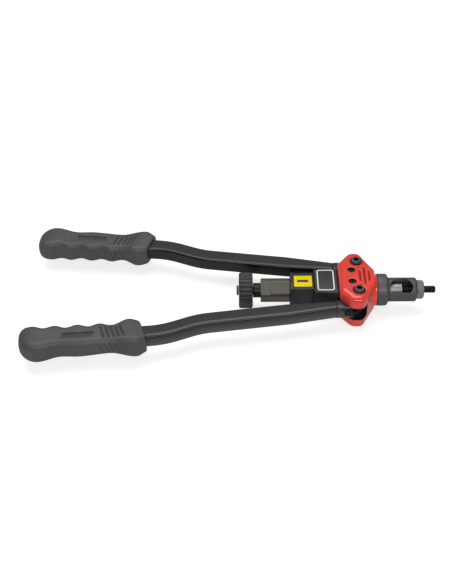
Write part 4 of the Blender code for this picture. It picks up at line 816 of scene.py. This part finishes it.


# Painted shade: the yoke's ground steel is darkened to near black so that it reads as the shade inside the
# head's slot
ground_steel_shaded, *_ = finish(
    "ground_steel_shaded", grey(0.035), grey(0.022), 0.42, 0.95, 0.3, 0.012,
    worn=grey(0.1), patches=120.0, grain=2200.0, spread=0.25, wear=0.3,
)
bright_steel = turned_finish(
    "bright_steel", grey(0.42), grey(0.33), 0.5, 1.0, 0.4,
    worn=grey(0.75), patches=120.0, grain=1800.0, spread=0.25, wear=0.5,
)
hand_over(refined("draw_yoke", 0.35), "ground_yoke", ground_steel_shaded, "yoke", "draw_yoke", 30.0)
for level, front in (("front", -1.5), ("rear", -17.3)):
    profile = plain(front, front - THRUST_THICK, THRUST_RADIUS, SPINDLE_BORE)
    washer = lathe("thrust", profile, hollow=True, fillet=0.2)
    hand_over(washer, f"hard_washer_{level}", bright_steel, "yoke", f"thrust_washer_{level}")
thrust_nut = hex_bar("thrust_nut", 12.0, -24.3, -18.8, (0.0, 0.0), "X", 0.7)
profile = [(-26.0, 0.0), (-26.0, 5.6), (-24.0, 4.3), (-19.1, 4.3), (-18.0, 5.2), (-18.0, 0.0)]
combine(thrust_nut, [lathe("thrust_bore", profile, fillet=0.0)])
hand_over(thrust_nut, "spindle_thrust_nut", bright_steel, "spindle", "thrust_nut", 25.0)

# Spindle, coupling, mandrel, neck and knob nut
# The shaft runs from the knob to a bright coupling that shows in the nose's window. The coupling holds the
# black mandrel, whose rolled M8 thread takes the rivet nut. The thread is cut by geometry nodes in a plain
# turned blank.
MANDREL_RADIUS = 3.9
MANDREL_TIP = 80.8
MANDREL_ROOT = 47.1
THREAD_PITCH = 1.25
THREAD_DEPTH = 0.68
THREAD_FRONT = 79.9
THREAD_ROWS_PER_TURN = 12


# Runs a node tree on a shape, its named inputs set by their identifiers, and keeps the result as the mesh
def run_nodes(shape, tree, values):
    step = shape.modifiers.new(tree.name, "NODES")
    step.node_group = tree
    for socket in tree.interface.items_tree:
        if socket.name in values:
            step[socket.identifier] = values[socket.name]
    return settle(shape)


# A tree that moves the points of a turned blank in or out. The rule gives a point's new radius from the
# tree's inputs, its place along the axis, its part of a turn round it and its old radius.
def radial_tree(name, sizes, rule):
    inputs = {"Blank": "Geometry"} | dict.fromkeys(sizes, "Float") | {"Finish": "Material"}
    tree, given, result = new_group(name, "GeometryNodeTree", inputs, {"Shape": "Geometry"})
    x, y, z = split(add_node(tree, "GeometryNodeInputPosition").outputs[0])
    turn = z.do("ARCTAN2", y) / (2 * math.pi)
    radius = (y * y + z * z).do("SQRT")
    scale = rule(given, x, turn, radius) / radius.do("MAXIMUM", 0.00001)
    place = add_node(tree, "ShaderNodeCombineXYZ", {0: x, 1: y * scale, 2: z * scale}).outputs[0]
    moved = add_node(tree, "GeometryNodeSetPosition", {"Geometry": given["Blank"], "Position": place})
    real = add_node(tree, "GeometryNodeRealizeInstances", {0: moved.outputs[0]})
    painted = add_node(tree, "GeometryNodeSetMaterial", {0: real.outputs[0], "Material": given["Finish"]})
    feed(result, {"Shape": painted.outputs[0]})
    return tree


def thread_rule(given, along, turn, radius):
    phase = (along / given["Pitch"] - turn).do("FRACT")
    flank = (abs(phase * 2.0 - 1.0) - 0.12).do("MULTIPLY", 1.3, True)
    return radius.do("MINIMUM", Value(given["Major Radius"]) - flank * given["Depth"])


black_oxide = turned_finish(
    "black_oxide", grey(0.032), grey(0.020), 0.42, 0.8, 0.25,
    worn=grey(0.14), patches=160.0, grain=2200.0, spread=0.25, wear=0.8,
)
profile = [(27.0, 0.0), (27.0, 3.0), (15.7, 3.0), (15.7, 4.0), (1.8, 4.0), (1.8, 6.0), (-1.2, 6.0)]
profile += [(-1.2, 4.0), (-121.0, 4.0), (-121.0, 0.0)]
shaft = lathe("shaft", profile, fillet=0.2, steps=64)
hand_over(shaft, "turned_spindle", black_oxide, "spindle", "spindle_shaft")
profile = [(46.2, 3.3), (46.2, 6.8), (45.8, 7.2), (44.4, 7.2), (44.2, 7.0), (43.7, 7.0), (43.5, 7.2)]
profile += [(33.3, 7.2), (32.9, 6.8), (32.9, 4.65), (16.4, 4.65), (16.0, 4.3), (16.0, 3.3)]
coupling = lathe("coupling", profile, hollow=True, fillet=0.06)
hand_over(coupling, "bright_coupling", bright_steel, "spindle", "mandrel_coupling", 30.0)

profile = [(MANDREL_TIP, 0.0), (MANDREL_TIP, 2.7), (THREAD_FRONT, MANDREL_RADIUS)]
rows = int((THREAD_FRONT - MANDREL_ROOT) / THREAD_PITCH * THREAD_ROWS_PER_TURN)
places = np.linspace(THREAD_FRONT, MANDREL_ROOT, rows + 1)[1:]
profile += [(place, MANDREL_RADIUS) for place in places] + [(MANDREL_ROOT, 3.0), (32.8, 3.0), (32.8, 0.0)]
mandrel = lathe("mandrel", profile, fillet=0.0, steps=64)
sizes = {"Major Radius": MANDREL_RADIUS * MM, "Pitch": THREAD_PITCH * MM, "Depth": THREAD_DEPTH * MM}
run_nodes(mandrel, radial_tree("thread_cutter", sizes, thread_rule), sizes | {"Finish": black_oxide})
hand_over(mandrel, "m8_mandrel", black_oxide, "spindle", "threaded_mandrel", 50.0)

profile = [(-91.5, 4.3), (-91.5, 7.0), (-92.0, 7.5), (-96.0, 7.5), (-96.3, 7.2), (-97.0, 7.2), (-97.3, 7.5)]
profile += [(-106.0, 7.5), (-106.5, 7.1), (-106.5, 4.3)]
neck = lathe("neck", profile, hollow=True, fillet=0.1)
hand_over(neck, "neck_collar_turned", black_oxide, "spindle", "neck_collar")
knob_nut = hex_bar("knob_nut", 9.0, -123.4, -121.3, (0.0, 0.0), "X", 0.5)
hand_over(knob_nut, "thin_knob_nut", bolt_oxide, "spindle", "knob_nut", 25.0)

# Adjusting knob
# A moulded wheel of matt dark plastic, dished on both faces. Its wide rounded ribs repeat round the rim, so a
# geometry tree presses the narrow grooves between them into a smooth blank.
KNOB_FRONT = -106.8
KNOB_REAR = -121.0
KNOB_RADIUS = 18.45
KNOB_ROOT = 15.6
KNOB_RIBS = 24
KNOB_RIB_STEPS = 16
KNOB_GROOVE = 1.5


def rib_rule(given, along, turn, radius):
    phase = (turn * given["Ribs"] + 0.5).do("FRACT")
    groove = abs(phase * 2.0 - 1.0).do("POWER", 5.0) * given["Depth"]
    reach = Value(given["Rim Radius"]) - given["Root Radius"]
    return radius - groove * (radius - given["Root Radius"]).do("DIVIDE", reach, True)


knob_plastic, *_ = finish(
    "knob_plastic", (0.042, 0.042, 0.045), (0.030, 0.030, 0.033), 0.55, 0.0, 0.4, 0.04,
    worn=grey(0.12), patches=90.0, grain=1300.0, spread=0.15, wear=0.2,
)
middle = (KNOB_FRONT + KNOB_REAR) / 2
face = [(7.1, 4.3), (7.1, 9.0), (5.1, 9.6), (5.1, 13.4), (7.1, 14.4), (7.1, 16.9), (6.4, 18.0),
        (5.0, KNOB_RADIUS)]
profile = [(middle + place, radius) for place, radius in both_ends(face)]
knob = lathe("knob", profile, hollow=True, fillet=0.4, steps=KNOB_RIBS * KNOB_RIB_STEPS)
sizes = {"Ribs": float(KNOB_RIBS), "Depth": KNOB_GROOVE * MM}
sizes |= {"Rim Radius": KNOB_RADIUS * MM, "Root Radius": KNOB_ROOT * MM}
run_nodes(knob, radial_tree("rib_presser", sizes, rib_rule), sizes | {"Finish": knob_plastic})
hand_over(knob, "ribbed_knob", knob_plastic, "spindle", "adjusting_knob", 40.0)

# Lock ring, nose housing and anvil
# Three turned steel parts with a dark phosphate finish. The ring locks the nose's thread. One long window
# with round ends is milled in the nose, down to a step in front and behind. The hexagonal anvil is pressed
# in its end.
NOSE_RADIUS = 12.35
NOSE_BORE = 6.25
WINDOW_BORE = 8.1
WINDOW = (33.2, 56.4, -6.1, 10.8)
WINDOW_CORNER = 8.3
WINDOW_TILT_DEG = 47.0
WINDOW_BACK_Y = 3.0
WINDOW_FLOOR_Z = 2.9
ANVIL_FLATS = 17.8
ANVIL_REAR = 61.5
ANVIL_FRONT = 68.3

phosphate_scales = {"worn": (0.26, 0.27, 0.25), "patches": 70.0, "grain": 1700.0, "spread": 0.2, "wear": 0.6}
dark_steel = turned_finish(
    "dark_steel", (0.122, 0.120, 0.114), (0.094, 0.092, 0.088), 0.5, 0.35, 0.35, **phosphate_scales,
)
profile = [(31.6, 10.3), (31.6, 13.7), (30.9, 15.3), (29.2, 16.5), (20.4, 16.5), (20.4, 10.3)]
ring = lathe("lock_ring", profile, hollow=True, fillet=0.8)
hand_over(ring, "turned_lock_ring", dark_steel, "lock_ring", "lock_ring", 30.0)

nose_steel = turned_finish(
    "nose_steel", (0.090, 0.090, 0.087), (0.070, 0.070, 0.068), 0.5, 0.35, 0.35, **phosphate_scales,
)
profile = [(61.2, 8.3), (61.2, 10.2), (60.7, 11.4), (59.4, NOSE_RADIUS), (31.9, NOSE_RADIUS), (31.9, 10.0)]
profile += [(10.4, 10.0), (10.4, NOSE_BORE), (32.4, NOSE_BORE), (32.4, WINDOW_BORE), (57.8, WINDOW_BORE)]
nose = lathe("nose", profile + [(57.8, 8.3)], hollow=True, fillet=0.35, steps=128)
window = soft_plate("window", rectangle(*WINDOW, WINDOW_CORNER, 16), -4.0, 15.0, 0.0, 1)
tilt(window, WINDOW_TILT_DEG)
step = soft_box("window_step", (30.0, -20.0, WINDOW_FLOOR_Z), (60.0, WINDOW_BACK_Y, 20.0), 0.4)
combine(nose, [combine(window, [step], "INTERSECT")])
soften(nose, 0.28, 2, 50.0)
hand_over(nose, "windowed_nose", nose_steel, "nose", "nose_housing")

anvil_steel = turned_finish(
    "anvil_steel", (0.235, 0.239, 0.230), (0.185, 0.190, 0.182), 0.42, 0.35, 0.3,
    worn=(0.34, 0.35, 0.33), patches=80.0, grain=1900.0, spread=0.25, wear=0.9,
)
corner = ANVIL_FLATS / math.sqrt(3) + 0.2
face = ANVIL_FLATS / 2 - 0.2
anvil = tilt(hex_bar("anvil", ANVIL_FLATS, ANVIL_REAR, ANVIL_FRONT, (0.0, 0.0), "X"), 30.0)
profile = [(60.0, 0.0), (60.0, face), (ANVIL_REAR, face + 0.7), (62.6, corner), (66.2, corner)]
profile += [(ANVIL_FRONT, face), (ANVIL_FRONT, 0.0)]
combine(anvil, [lathe("anvil_turned", profile, fillet=0.0)], "INTERSECT")
combine(anvil, [lathe("anvil_stem", plain(58.1, 62.5, 8.0), fillet=0.3)], "UNION")
bore = [(57.0, 0.0), (57.0, 4.25), (67.9, 4.25), (69.0, 5.4), (69.0, 0.0)]
combine(anvil, [lathe("anvil_bore", bore, fillet=0.0)])
soften(anvil, 0.18, 2, 25.0)
hand_over(anvil, "hex_anvil", anvil_steel, "nose", "anvil", 25.0)

# Arms
# Each arm is a rectangular steel tube with one joggle, narrowed at the front and welded to a forged fork
# knuckle, all in gloss black enamel, with a painted sheen that lightens it on top and low on the outboard
# side.
# The fork turns on bronze bushes and carries a hardened crank pin, and a web closes its outboard side behind
# the pin.
ARM_LINE_Y = 25.9
ARM_FRONT_DEG = 8.2
JOGGLE_DEG = 22.8
ARM_REAR_DEG = 4.76
JOGGLE_X = (-160.2, -197.1)
BEND_RADIUS = 85.0
BEND_STEPS = 14
ARM_START_X = -23.25
TAPER_START_X = -72.0
ARM_END_X = -329.0
TUBE_WIDTH = 17.0
TUBE_FRONT_WIDTH = 11.4
TUBE_HALF_HEIGHT = 7.5
TUBE_CORNER = 2.6
TUBE_WALL = 2.0
WEB_REAR = (-22.0, 32.0, 33.9)
WEB_FRONT = (-14.4, 33.3, 35.2)
CRANK_PIN_PLACE = (-7.5, 29.2)


# Centre line of an arm as points (x, y) from the knuckle to its rear end, with both bends rounded
def arm_line(side):
    angles = (ARM_FRONT_DEG, JOGGLE_DEG, ARM_REAR_DEG)
    front, middle, rear = (math.tan(math.radians(angle)) for angle in angles)
    first_y = ARM_LINE_Y - JOGGLE_X[0] * front
    second_y = first_y + (JOGGLE_X[0] - JOGGLE_X[1]) * middle
    line = [(ARM_START_X, ARM_LINE_Y - ARM_START_X * front, 0.0), (JOGGLE_X[0], first_y, BEND_RADIUS)]
    end_y = second_y + (JOGGLE_X[1] - ARM_END_X) * rear
    line += [(JOGGLE_X[1], second_y, BEND_RADIUS), (ARM_END_X, end_y, 0.0)]
    bent = rounded([(x, side * y, radius) for x, y, radius in line], BEND_STEPS, False)
    taper = bent[0] + (bent[1] - bent[0]) * (TAPER_START_X - bent[0][0]) / (bent[1][0] - bent[0][0])
    near = bent[0] + (taper - bent[0]) * np.array(((0.0,), (0.5,), (0.9,), (1.0,), (1.1,)))
    return np.concatenate((near, bent[1:]))


# Corner-rounded rectangle with its points spread evenly: reaches -left to +right and -half to +half in height
def section_points(left, right, half, corner, arc_steps=6, flat_steps=4):
    arcs = []
    for quarter, (across, up) in enumerate(((right, half), (-left, half), (-left, -half), (right, -half))):
        centre = np.array((across - math.copysign(corner, across), up - math.copysign(corner, up)))
        angles = math.pi / 2 * (quarter + np.arange(arc_steps + 1) / arc_steps)
        arcs.append(centre + corner * np.stack((np.cos(angles), np.sin(angles)), axis=1))
    points = []
    shares = np.arange(1, flat_steps)[:, None] / flat_steps
    for arc, after in zip(arcs, arcs[1:] + arcs[:1]):
        points += [arc, arc[-1] + (after[0] - arc[-1]) * shares]
    return np.concatenate(points)


# Puts sections, given as (across, up), square to a flat path
def sweep_rows(line, sections):
    along = np.gradient(line, axis=0)
    along /= np.linalg.norm(along, axis=1)[:, None]
    rows = []
    for place, direction, section in zip(line, along, sections):
        flat = place + section[:, :1] * (-direction[1], direction[0])
        rows.append(np.column_stack((flat, section[:, 1])))
    return rows


black_enamel, shader, detail, _ = finish(
    "black_enamel", (0.006, 0.006, 0.007), (0.004, 0.004, 0.005), 0.24, 0.0, 0.25, 0.03,
    worn=grey(0.10), patches=35.0, grain=520.0, spread=0.12, wear=0.15,
)
# Painted sheen: upward faces and the lower outboard side are coloured lighter, standing in for reflected
# light
_, y, z = tool_place(black_enamel)
facing = split(add_node(black_enamel.node_tree, "ShaderNodeTexCoord").outputs["Normal"])
side_sheen = (facing[1] * y.do("SIGN")).ramp(0.6, 0.97) * z.ramp(TUBE_HALF_HEIGHT, -TUBE_HALF_HEIGHT)
painted_sheen = (facing[2].ramp(0.6, 0.97) * 0.34).do("MAXIMUM", side_sheen)
feed(shader, {
    "Base Color": mix_colour(painted_sheen, detail.outputs["Colour"], (0.110, 0.110, 0.116, 1.0)),
    "Specular IOR Level": 0.1,
    "Coat Weight": 0.6,
    "Coat Roughness": 0.09,
})
for side, word in SIDES:
    body = f"{word}_arm"
    line = arm_line(side)
    widen = np.clip((ARM_START_X - line[:, 0]) / (ARM_START_X - TAPER_START_X), 0.0, 1.0)
    halves = (TUBE_FRONT_WIDTH + (TUBE_WIDTH - TUBE_FRONT_WIDTH) * widen) / 2
    walls = []
    for wall in (0.0, TUBE_WALL):
        height, corner = TUBE_HALF_HEIGHT - wall, TUBE_CORNER - wall
        sections = [section_points(half - wall, half - wall, height, corner) for half in halves]
        walls.append(sweep_rows(line, sections))
    tube = skin(f"tube_{word}", walls[0] + walls[1][::-1], True)
    hand_over(tube, f"bent_tube_{word}", black_enamel, body, f"arm_tube_{word}", 30.0)
    knuckle = refined(f"arm_knuckle_{word}", 0.4)
    (rear_x, rear_low, rear_high), (front_x, front_low, front_high) = WEB_REAR, WEB_FRONT
    web = [(rear_x, rear_low), (front_x, front_low), (front_x, front_high), (rear_x, rear_high)]
    web = np.array(web) * (1.0, side)
    combine(knuckle, [soft_plate(f"knuckle_web_{word}", web, -4.2, 4.2, 0.0, 1)], "UNION")
    hand_over(knuckle, f"fork_knuckle_{word}", black_enamel, body, f"arm_knuckle_{word}",
              32.0)
    spot = (CRANK_PIN_PLACE[0], side * CRANK_PIN_PLACE[1])
    pin = lathe("pin", plain(-7.4, 7.4, 2.5), "Z", spot, fillet=0.4, steps=64)
    hand_over(pin, f"hard_crank_pin_{word}", bright_steel, body, f"crank_pin_{word}")
    for flip, level in LEVELS:
        part = f"{level}_{word}"
        profile = plain(3.4, 7.4, 4.75, 3.6)
        bush = lathe("pivot_bush", profile, "Z", (0.0, side * PIVOT_Y), True, 0.15, 64, flip)
        hand_over(bush, "bronze_bush_" + part, pad_bronze, body, "pivot_bush_" + part)

# Grips
# Each grip is a thick sleeve of charcoal rubber, moulded blind and pushed on to the tube: four finger
# scallops on the inner side, a swell for the palm outside, a leaning flange in front, a sunk hatched pad
# and slanted grooves.
GRIP_LENGTH = 125.5
GRIP_STATIONS = 300
GRIP_CREST = 15.0
SCALLOP_DEPTH = 3.1
SCALLOPS = 4
FIRST_CREST = 12.93
SCALLOP_PITCH = 22.21
FLANGE_AT = 111.9
FLANGE_INNER = 16.8
FLANGE_DROP = 2.5
LEAN_FROM = 94.1
LEAN = 0.23
PALM_TABLE = ((0.0, 15.6), (17.9, 18.0), (39.5, 13.9), (59.0, 15.4), (88.0, 13.6), (115.0, 18.2),
              (125.5, 14.2))
HEIGHT_TABLE = ((0.0, 10.6), (15.9, 12.2), (45.1, 10.9), (90.0, 10.6), (113.0, 12.8), (125.5, 11.2))
INNER_ROUND = (8.5, 0.5)
PALM_ROUND = (15.0, 0.3)
GRIP_CORNER = 6.4
GRIP_FLAT_STEPS = 40
FRONT_ROUND = 2.2
HOLE_HALF = (8.8, 7.8)
GRIP_END_WALL = 7.0
PAD_S = (43.0, 73.0)
PAD_U = {1: (-2.8, 4.4), -1: (-0.4, 6.4)}
PAD_SLANT = 0.35
PAD_DEPTH = 1.3
GRIP_GROOVES = 5
GROOVE_FIRST = {1: 84.5, -1: 82.0}
GROOVE_PITCH = 5.0
GROOVE_SLANT = math.tan(math.radians(14.0))
GROOVE_HALF = (1.15, 7.2)
GROOVE_DEPTH = 1.5
GROOVE_MIDDLE_U = 0.8
RIBBED_S = (80.0, 106.0)
HATCH = math.pi / 1.5
RIB = 2 * math.pi / GROOVE_PITCH


# The table's value at each place, in smooth steps from one entry to the next
def table_value(table, places):
    result = np.full(len(places), table[-1][1])
    for (start, first), (end, second) in reversed(tuple(zip(table, table[1:]))):
        share = np.clip((places - start) / (end - start), 0.0, 1.0)
        share = share * share * (3 - 2 * share)
        result = np.where(places <= end, first + (second - first) * share, result)
    return result


# 1 inside low to high, falling smoothly to 0 over the edge's width outside it
def window_mask(values, low, high, edge):
    rise = np.clip((values - low) / edge + 1.0, 0.0, 1.0) * np.clip((high - values) / edge + 1.0, 0.0, 1.0)
    return rise * rise * (3 - 2 * rise)


# How far the finger side reaches: scallops from the first crest to the last dip, then the flange
def finger_half(places):
    last_dip = FIRST_CREST + (SCALLOPS - 0.5) * SCALLOP_PITCH
    dip = GRIP_CREST - SCALLOP_DEPTH
    wave = dip + SCALLOP_DEPTH * (0.5 + 0.5 * np.cos(2 * math.pi * (places - FIRST_CREST) / SCALLOP_PITCH))
    share = np.clip((places - last_dip) / (FLANGE_AT - last_dip), 0.0, 1.0)
    rise = dip + (FLANGE_INNER - dip) * (0.5 - 0.5 * np.cos(math.pi * share))
    past = np.clip((places - FLANGE_AT) / (GRIP_LENGTH - FLANGE_AT), 0.0, 1.0)
    drop = FLANGE_INNER - FLANGE_DROP * past**2
    result = np.where(places < FIRST_CREST, GRIP_CREST, wave)
    result = np.where(places >= last_dip, rise, result)
    return np.where(places >= FLANGE_AT, drop, result)


# The share of its size that the grip has near its round rear end
def end_share(places, reach, least):
    return least + (1 - least) * np.sqrt(1 - np.clip(1 - places / reach, 0.0, 1.0) ** 2)


# Rows of a grip in its own measures: s from the rear end, u towards the palm, v upwards. The pad sinks like a
# wedge, deepest at its edge towards the upper arm's side of the tool.
def grip_rows(side):
    ends = 1 - np.cos(np.linspace(0.0, math.pi / 2, 24))
    middles = np.linspace(15.0, GRIP_LENGTH - FRONT_ROUND, GRIP_STATIONS)
    fronts = GRIP_LENGTH - FRONT_ROUND * (1 - np.sin(np.linspace(0.1, math.pi / 2, 9)))
    places = np.concatenate((ends[:-1] * 15.0, middles, fronts))
    trims = 1.6 * (1 - np.sqrt(1 - np.clip((places - GRIP_LENGTH) / FRONT_ROUND + 1.0, 0.0, 1.0) ** 2))
    palms = table_value(PALM_TABLE, places) * end_share(places, *PALM_ROUND) - trims
    inners = finger_half(places) * end_share(places, *INNER_ROUND) - trims
    halves = table_value(HEIGHT_TABLE, places) * end_share(places, *INNER_ROUND)
    rows = []
    for s, palm, inner, half, trim in zip(places, palms, inners, halves, trims):
        section = section_points(inner, palm, half - trim, min(GRIP_CORNER, half * 0.9), 10, GRIP_FLAT_STEPS)
        u, v = section[:, 0], section[:, 1]
        low, high = PAD_U[side]
        wedge = np.clip((u - low if side > 0 else high - u) / (high - low), 0.0, 1.0)
        sunk = PAD_DEPTH * wedge * window_mask(s + (u - 1.5) * PAD_SLANT, *PAD_S, 0.5)
        sunk *= window_mask(u, low, high, 0.4)
        across = window_mask(u, GROOVE_MIDDLE_U - GROOVE_HALF[1], GROOVE_MIDDLE_U + GROOVE_HALF[1], 1.0)
        for index in range(GRIP_GROOVES):
            away = s - GROOVE_FIRST[side] - index * GROOVE_PITCH - (u - GROOVE_MIDDLE_U) * GROOVE_SLANT
            dip = np.clip(1 - (away / GROOVE_HALF[0]) ** 2, 0.0, 1.0)
            sunk = np.maximum(sunk, GROOVE_DEPTH * dip * across)
        v = np.where(v > half - trim - 2.5, v - sunk, v)
        rows.append(np.column_stack((np.full(len(u), s), u, v)))
    for s, mouth in ((GRIP_LENGTH, 0.7), (GRIP_LENGTH - 0.25, 0.25), (GRIP_LENGTH - 0.8, 0.0),
                     (GRIP_END_WALL, 0.0)):
        hole_u, hole_v = (half + mouth for half in HOLE_HALF)
        hole = section_points(hole_u, hole_u, hole_v, 2.9, 10, GRIP_FLAT_STEPS)
        rows.append(np.column_stack((np.full(len(hole), s), hole)))
    return np.array(rows)


# Rubber: the mould presses in the pad's cross hatch and the ribs on the sides, as far as their masks reach.
# Their hollows are coloured darker as painted shade, and a painted shadow line runs along the pad's far edge.
grip_rubber, shader, detail, relief = finish(
    "grip_rubber", (0.069, 0.069, 0.073), (0.058, 0.058, 0.062), 0.5, 0.0, 0.45, 0.05,
    worn=grey(0.12), patches=45.0, grain=1100.0, spread=0.12, wear=0.1,
)
(s, u, v), (on_pad, on_ribs, pad_edge_shadow) = (
    split(add_node(grip_rubber.node_tree, "ShaderNodeAttribute", attribute_name=name).outputs["Vector"])
    for name in ("grip_place", "grip_masks")
)
hatch = ((s + u) * HATCH).do("SINE") * ((s - u) * HATCH).do("SINE") * 0.3
ribs = ((s + v * PAD_SLANT) * RIB).do("SINE").ramp(0.95, 0.4)
pattern = hatch * on_pad + ribs * on_ribs
# Painted shade in the pressed hollows, and the painted shadow line along the pad's far edge
shade = (pattern.ramp(1.0, -0.4) * (on_pad * 0.2 + on_ribs * 0.45)).do("MAXIMUM", pad_edge_shadow)
sockets = {"Strength": 1.0, "Distance": 0.5 * MM, "Height": pattern, "Normal": relief.outputs[0]}
feed(shader, {
    "Base Color": mix_colour(shade, detail.outputs["Colour"], (0.02, 0.02, 0.022, 1.0)),
    "Specular IOR Level": 0.6,
    "Normal": add_node(grip_rubber.node_tree, "ShaderNodeBump", sockets).outputs[0],
})

for side, word in SIDES:
    angle = math.radians(ARM_REAR_DEG)
    forward = np.array((math.cos(angle), -side * math.sin(angle)))
    outward = np.array((math.sin(angle), side * math.cos(angle)))
    start = arm_line(side)[-1] - forward * (GRIP_END_WALL + 1.0)
    rows = grip_rows(side)
    s, u, v = (rows[:, :, index] for index in range(3))
    lean = np.clip((s - LEAN_FROM) / (GRIP_LENGTH - LEAN_FROM), 0.0, 1.0) * LEAN
    reach = s - lean * (PALM_TABLE[-1][1] - u)
    placed = np.zeros_like(rows)
    placed[:, :, :2] = start + reach[:, :, None] * forward + u[:, :, None] * outward
    placed[:, :, 2] = v
    grip = skin(f"grip_{word}", placed)
    points = np.zeros((len(grip.data.vertices), 3), dtype=np.float32)
    grip.data.vertices.foreach_get("co", points.ravel())
    flat = points[:, :2] / MM - start
    s, u, v = flat @ forward, flat @ outward, points[:, 2] / MM
    low, high = PAD_U[side]
    on_top = v > 8.0
    slanted = s + (u - 1.5) * PAD_SLANT
    pad = window_mask(slanted, PAD_S[0] + 1.0, PAD_S[1] - 1.0, 0.8)
    pad *= window_mask(u, low, high - 0.5, 0.8) * on_top
    ribbed = window_mask(s, *RIBBED_S, 2.0) * window_mask(v, -6.0, 5.5, 2.0)
    # Painted shadow: a dark line along the pad's far wall
    far_edge = (high - 0.9, high + 0.4) if side > 0 else (low - 0.4, low + 0.9)
    line = window_mask(u, *far_edge, 0.3) * window_mask(slanted, *PAD_S, 0.3) * on_top * 0.85
    for name, values in (("grip_place", (s, u, v)), ("grip_masks", (pad, ribbed, line))):
        made = grip.data.attributes.new(name, "FLOAT_VECTOR", "POINT")
        made.data.foreach_set("vector", np.stack(values, axis=1).astype(np.float32).ravel())
    hand_over(grip, f"rubber_grip_{word}", grip_rubber, f"{word}_arm", f"grip_{word}", 60.0)

bpy.data.collections.remove(workshop)

sizes = {"cad": [list(cad_low), list(cad_high)], "visual": [list(corner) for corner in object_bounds()]}
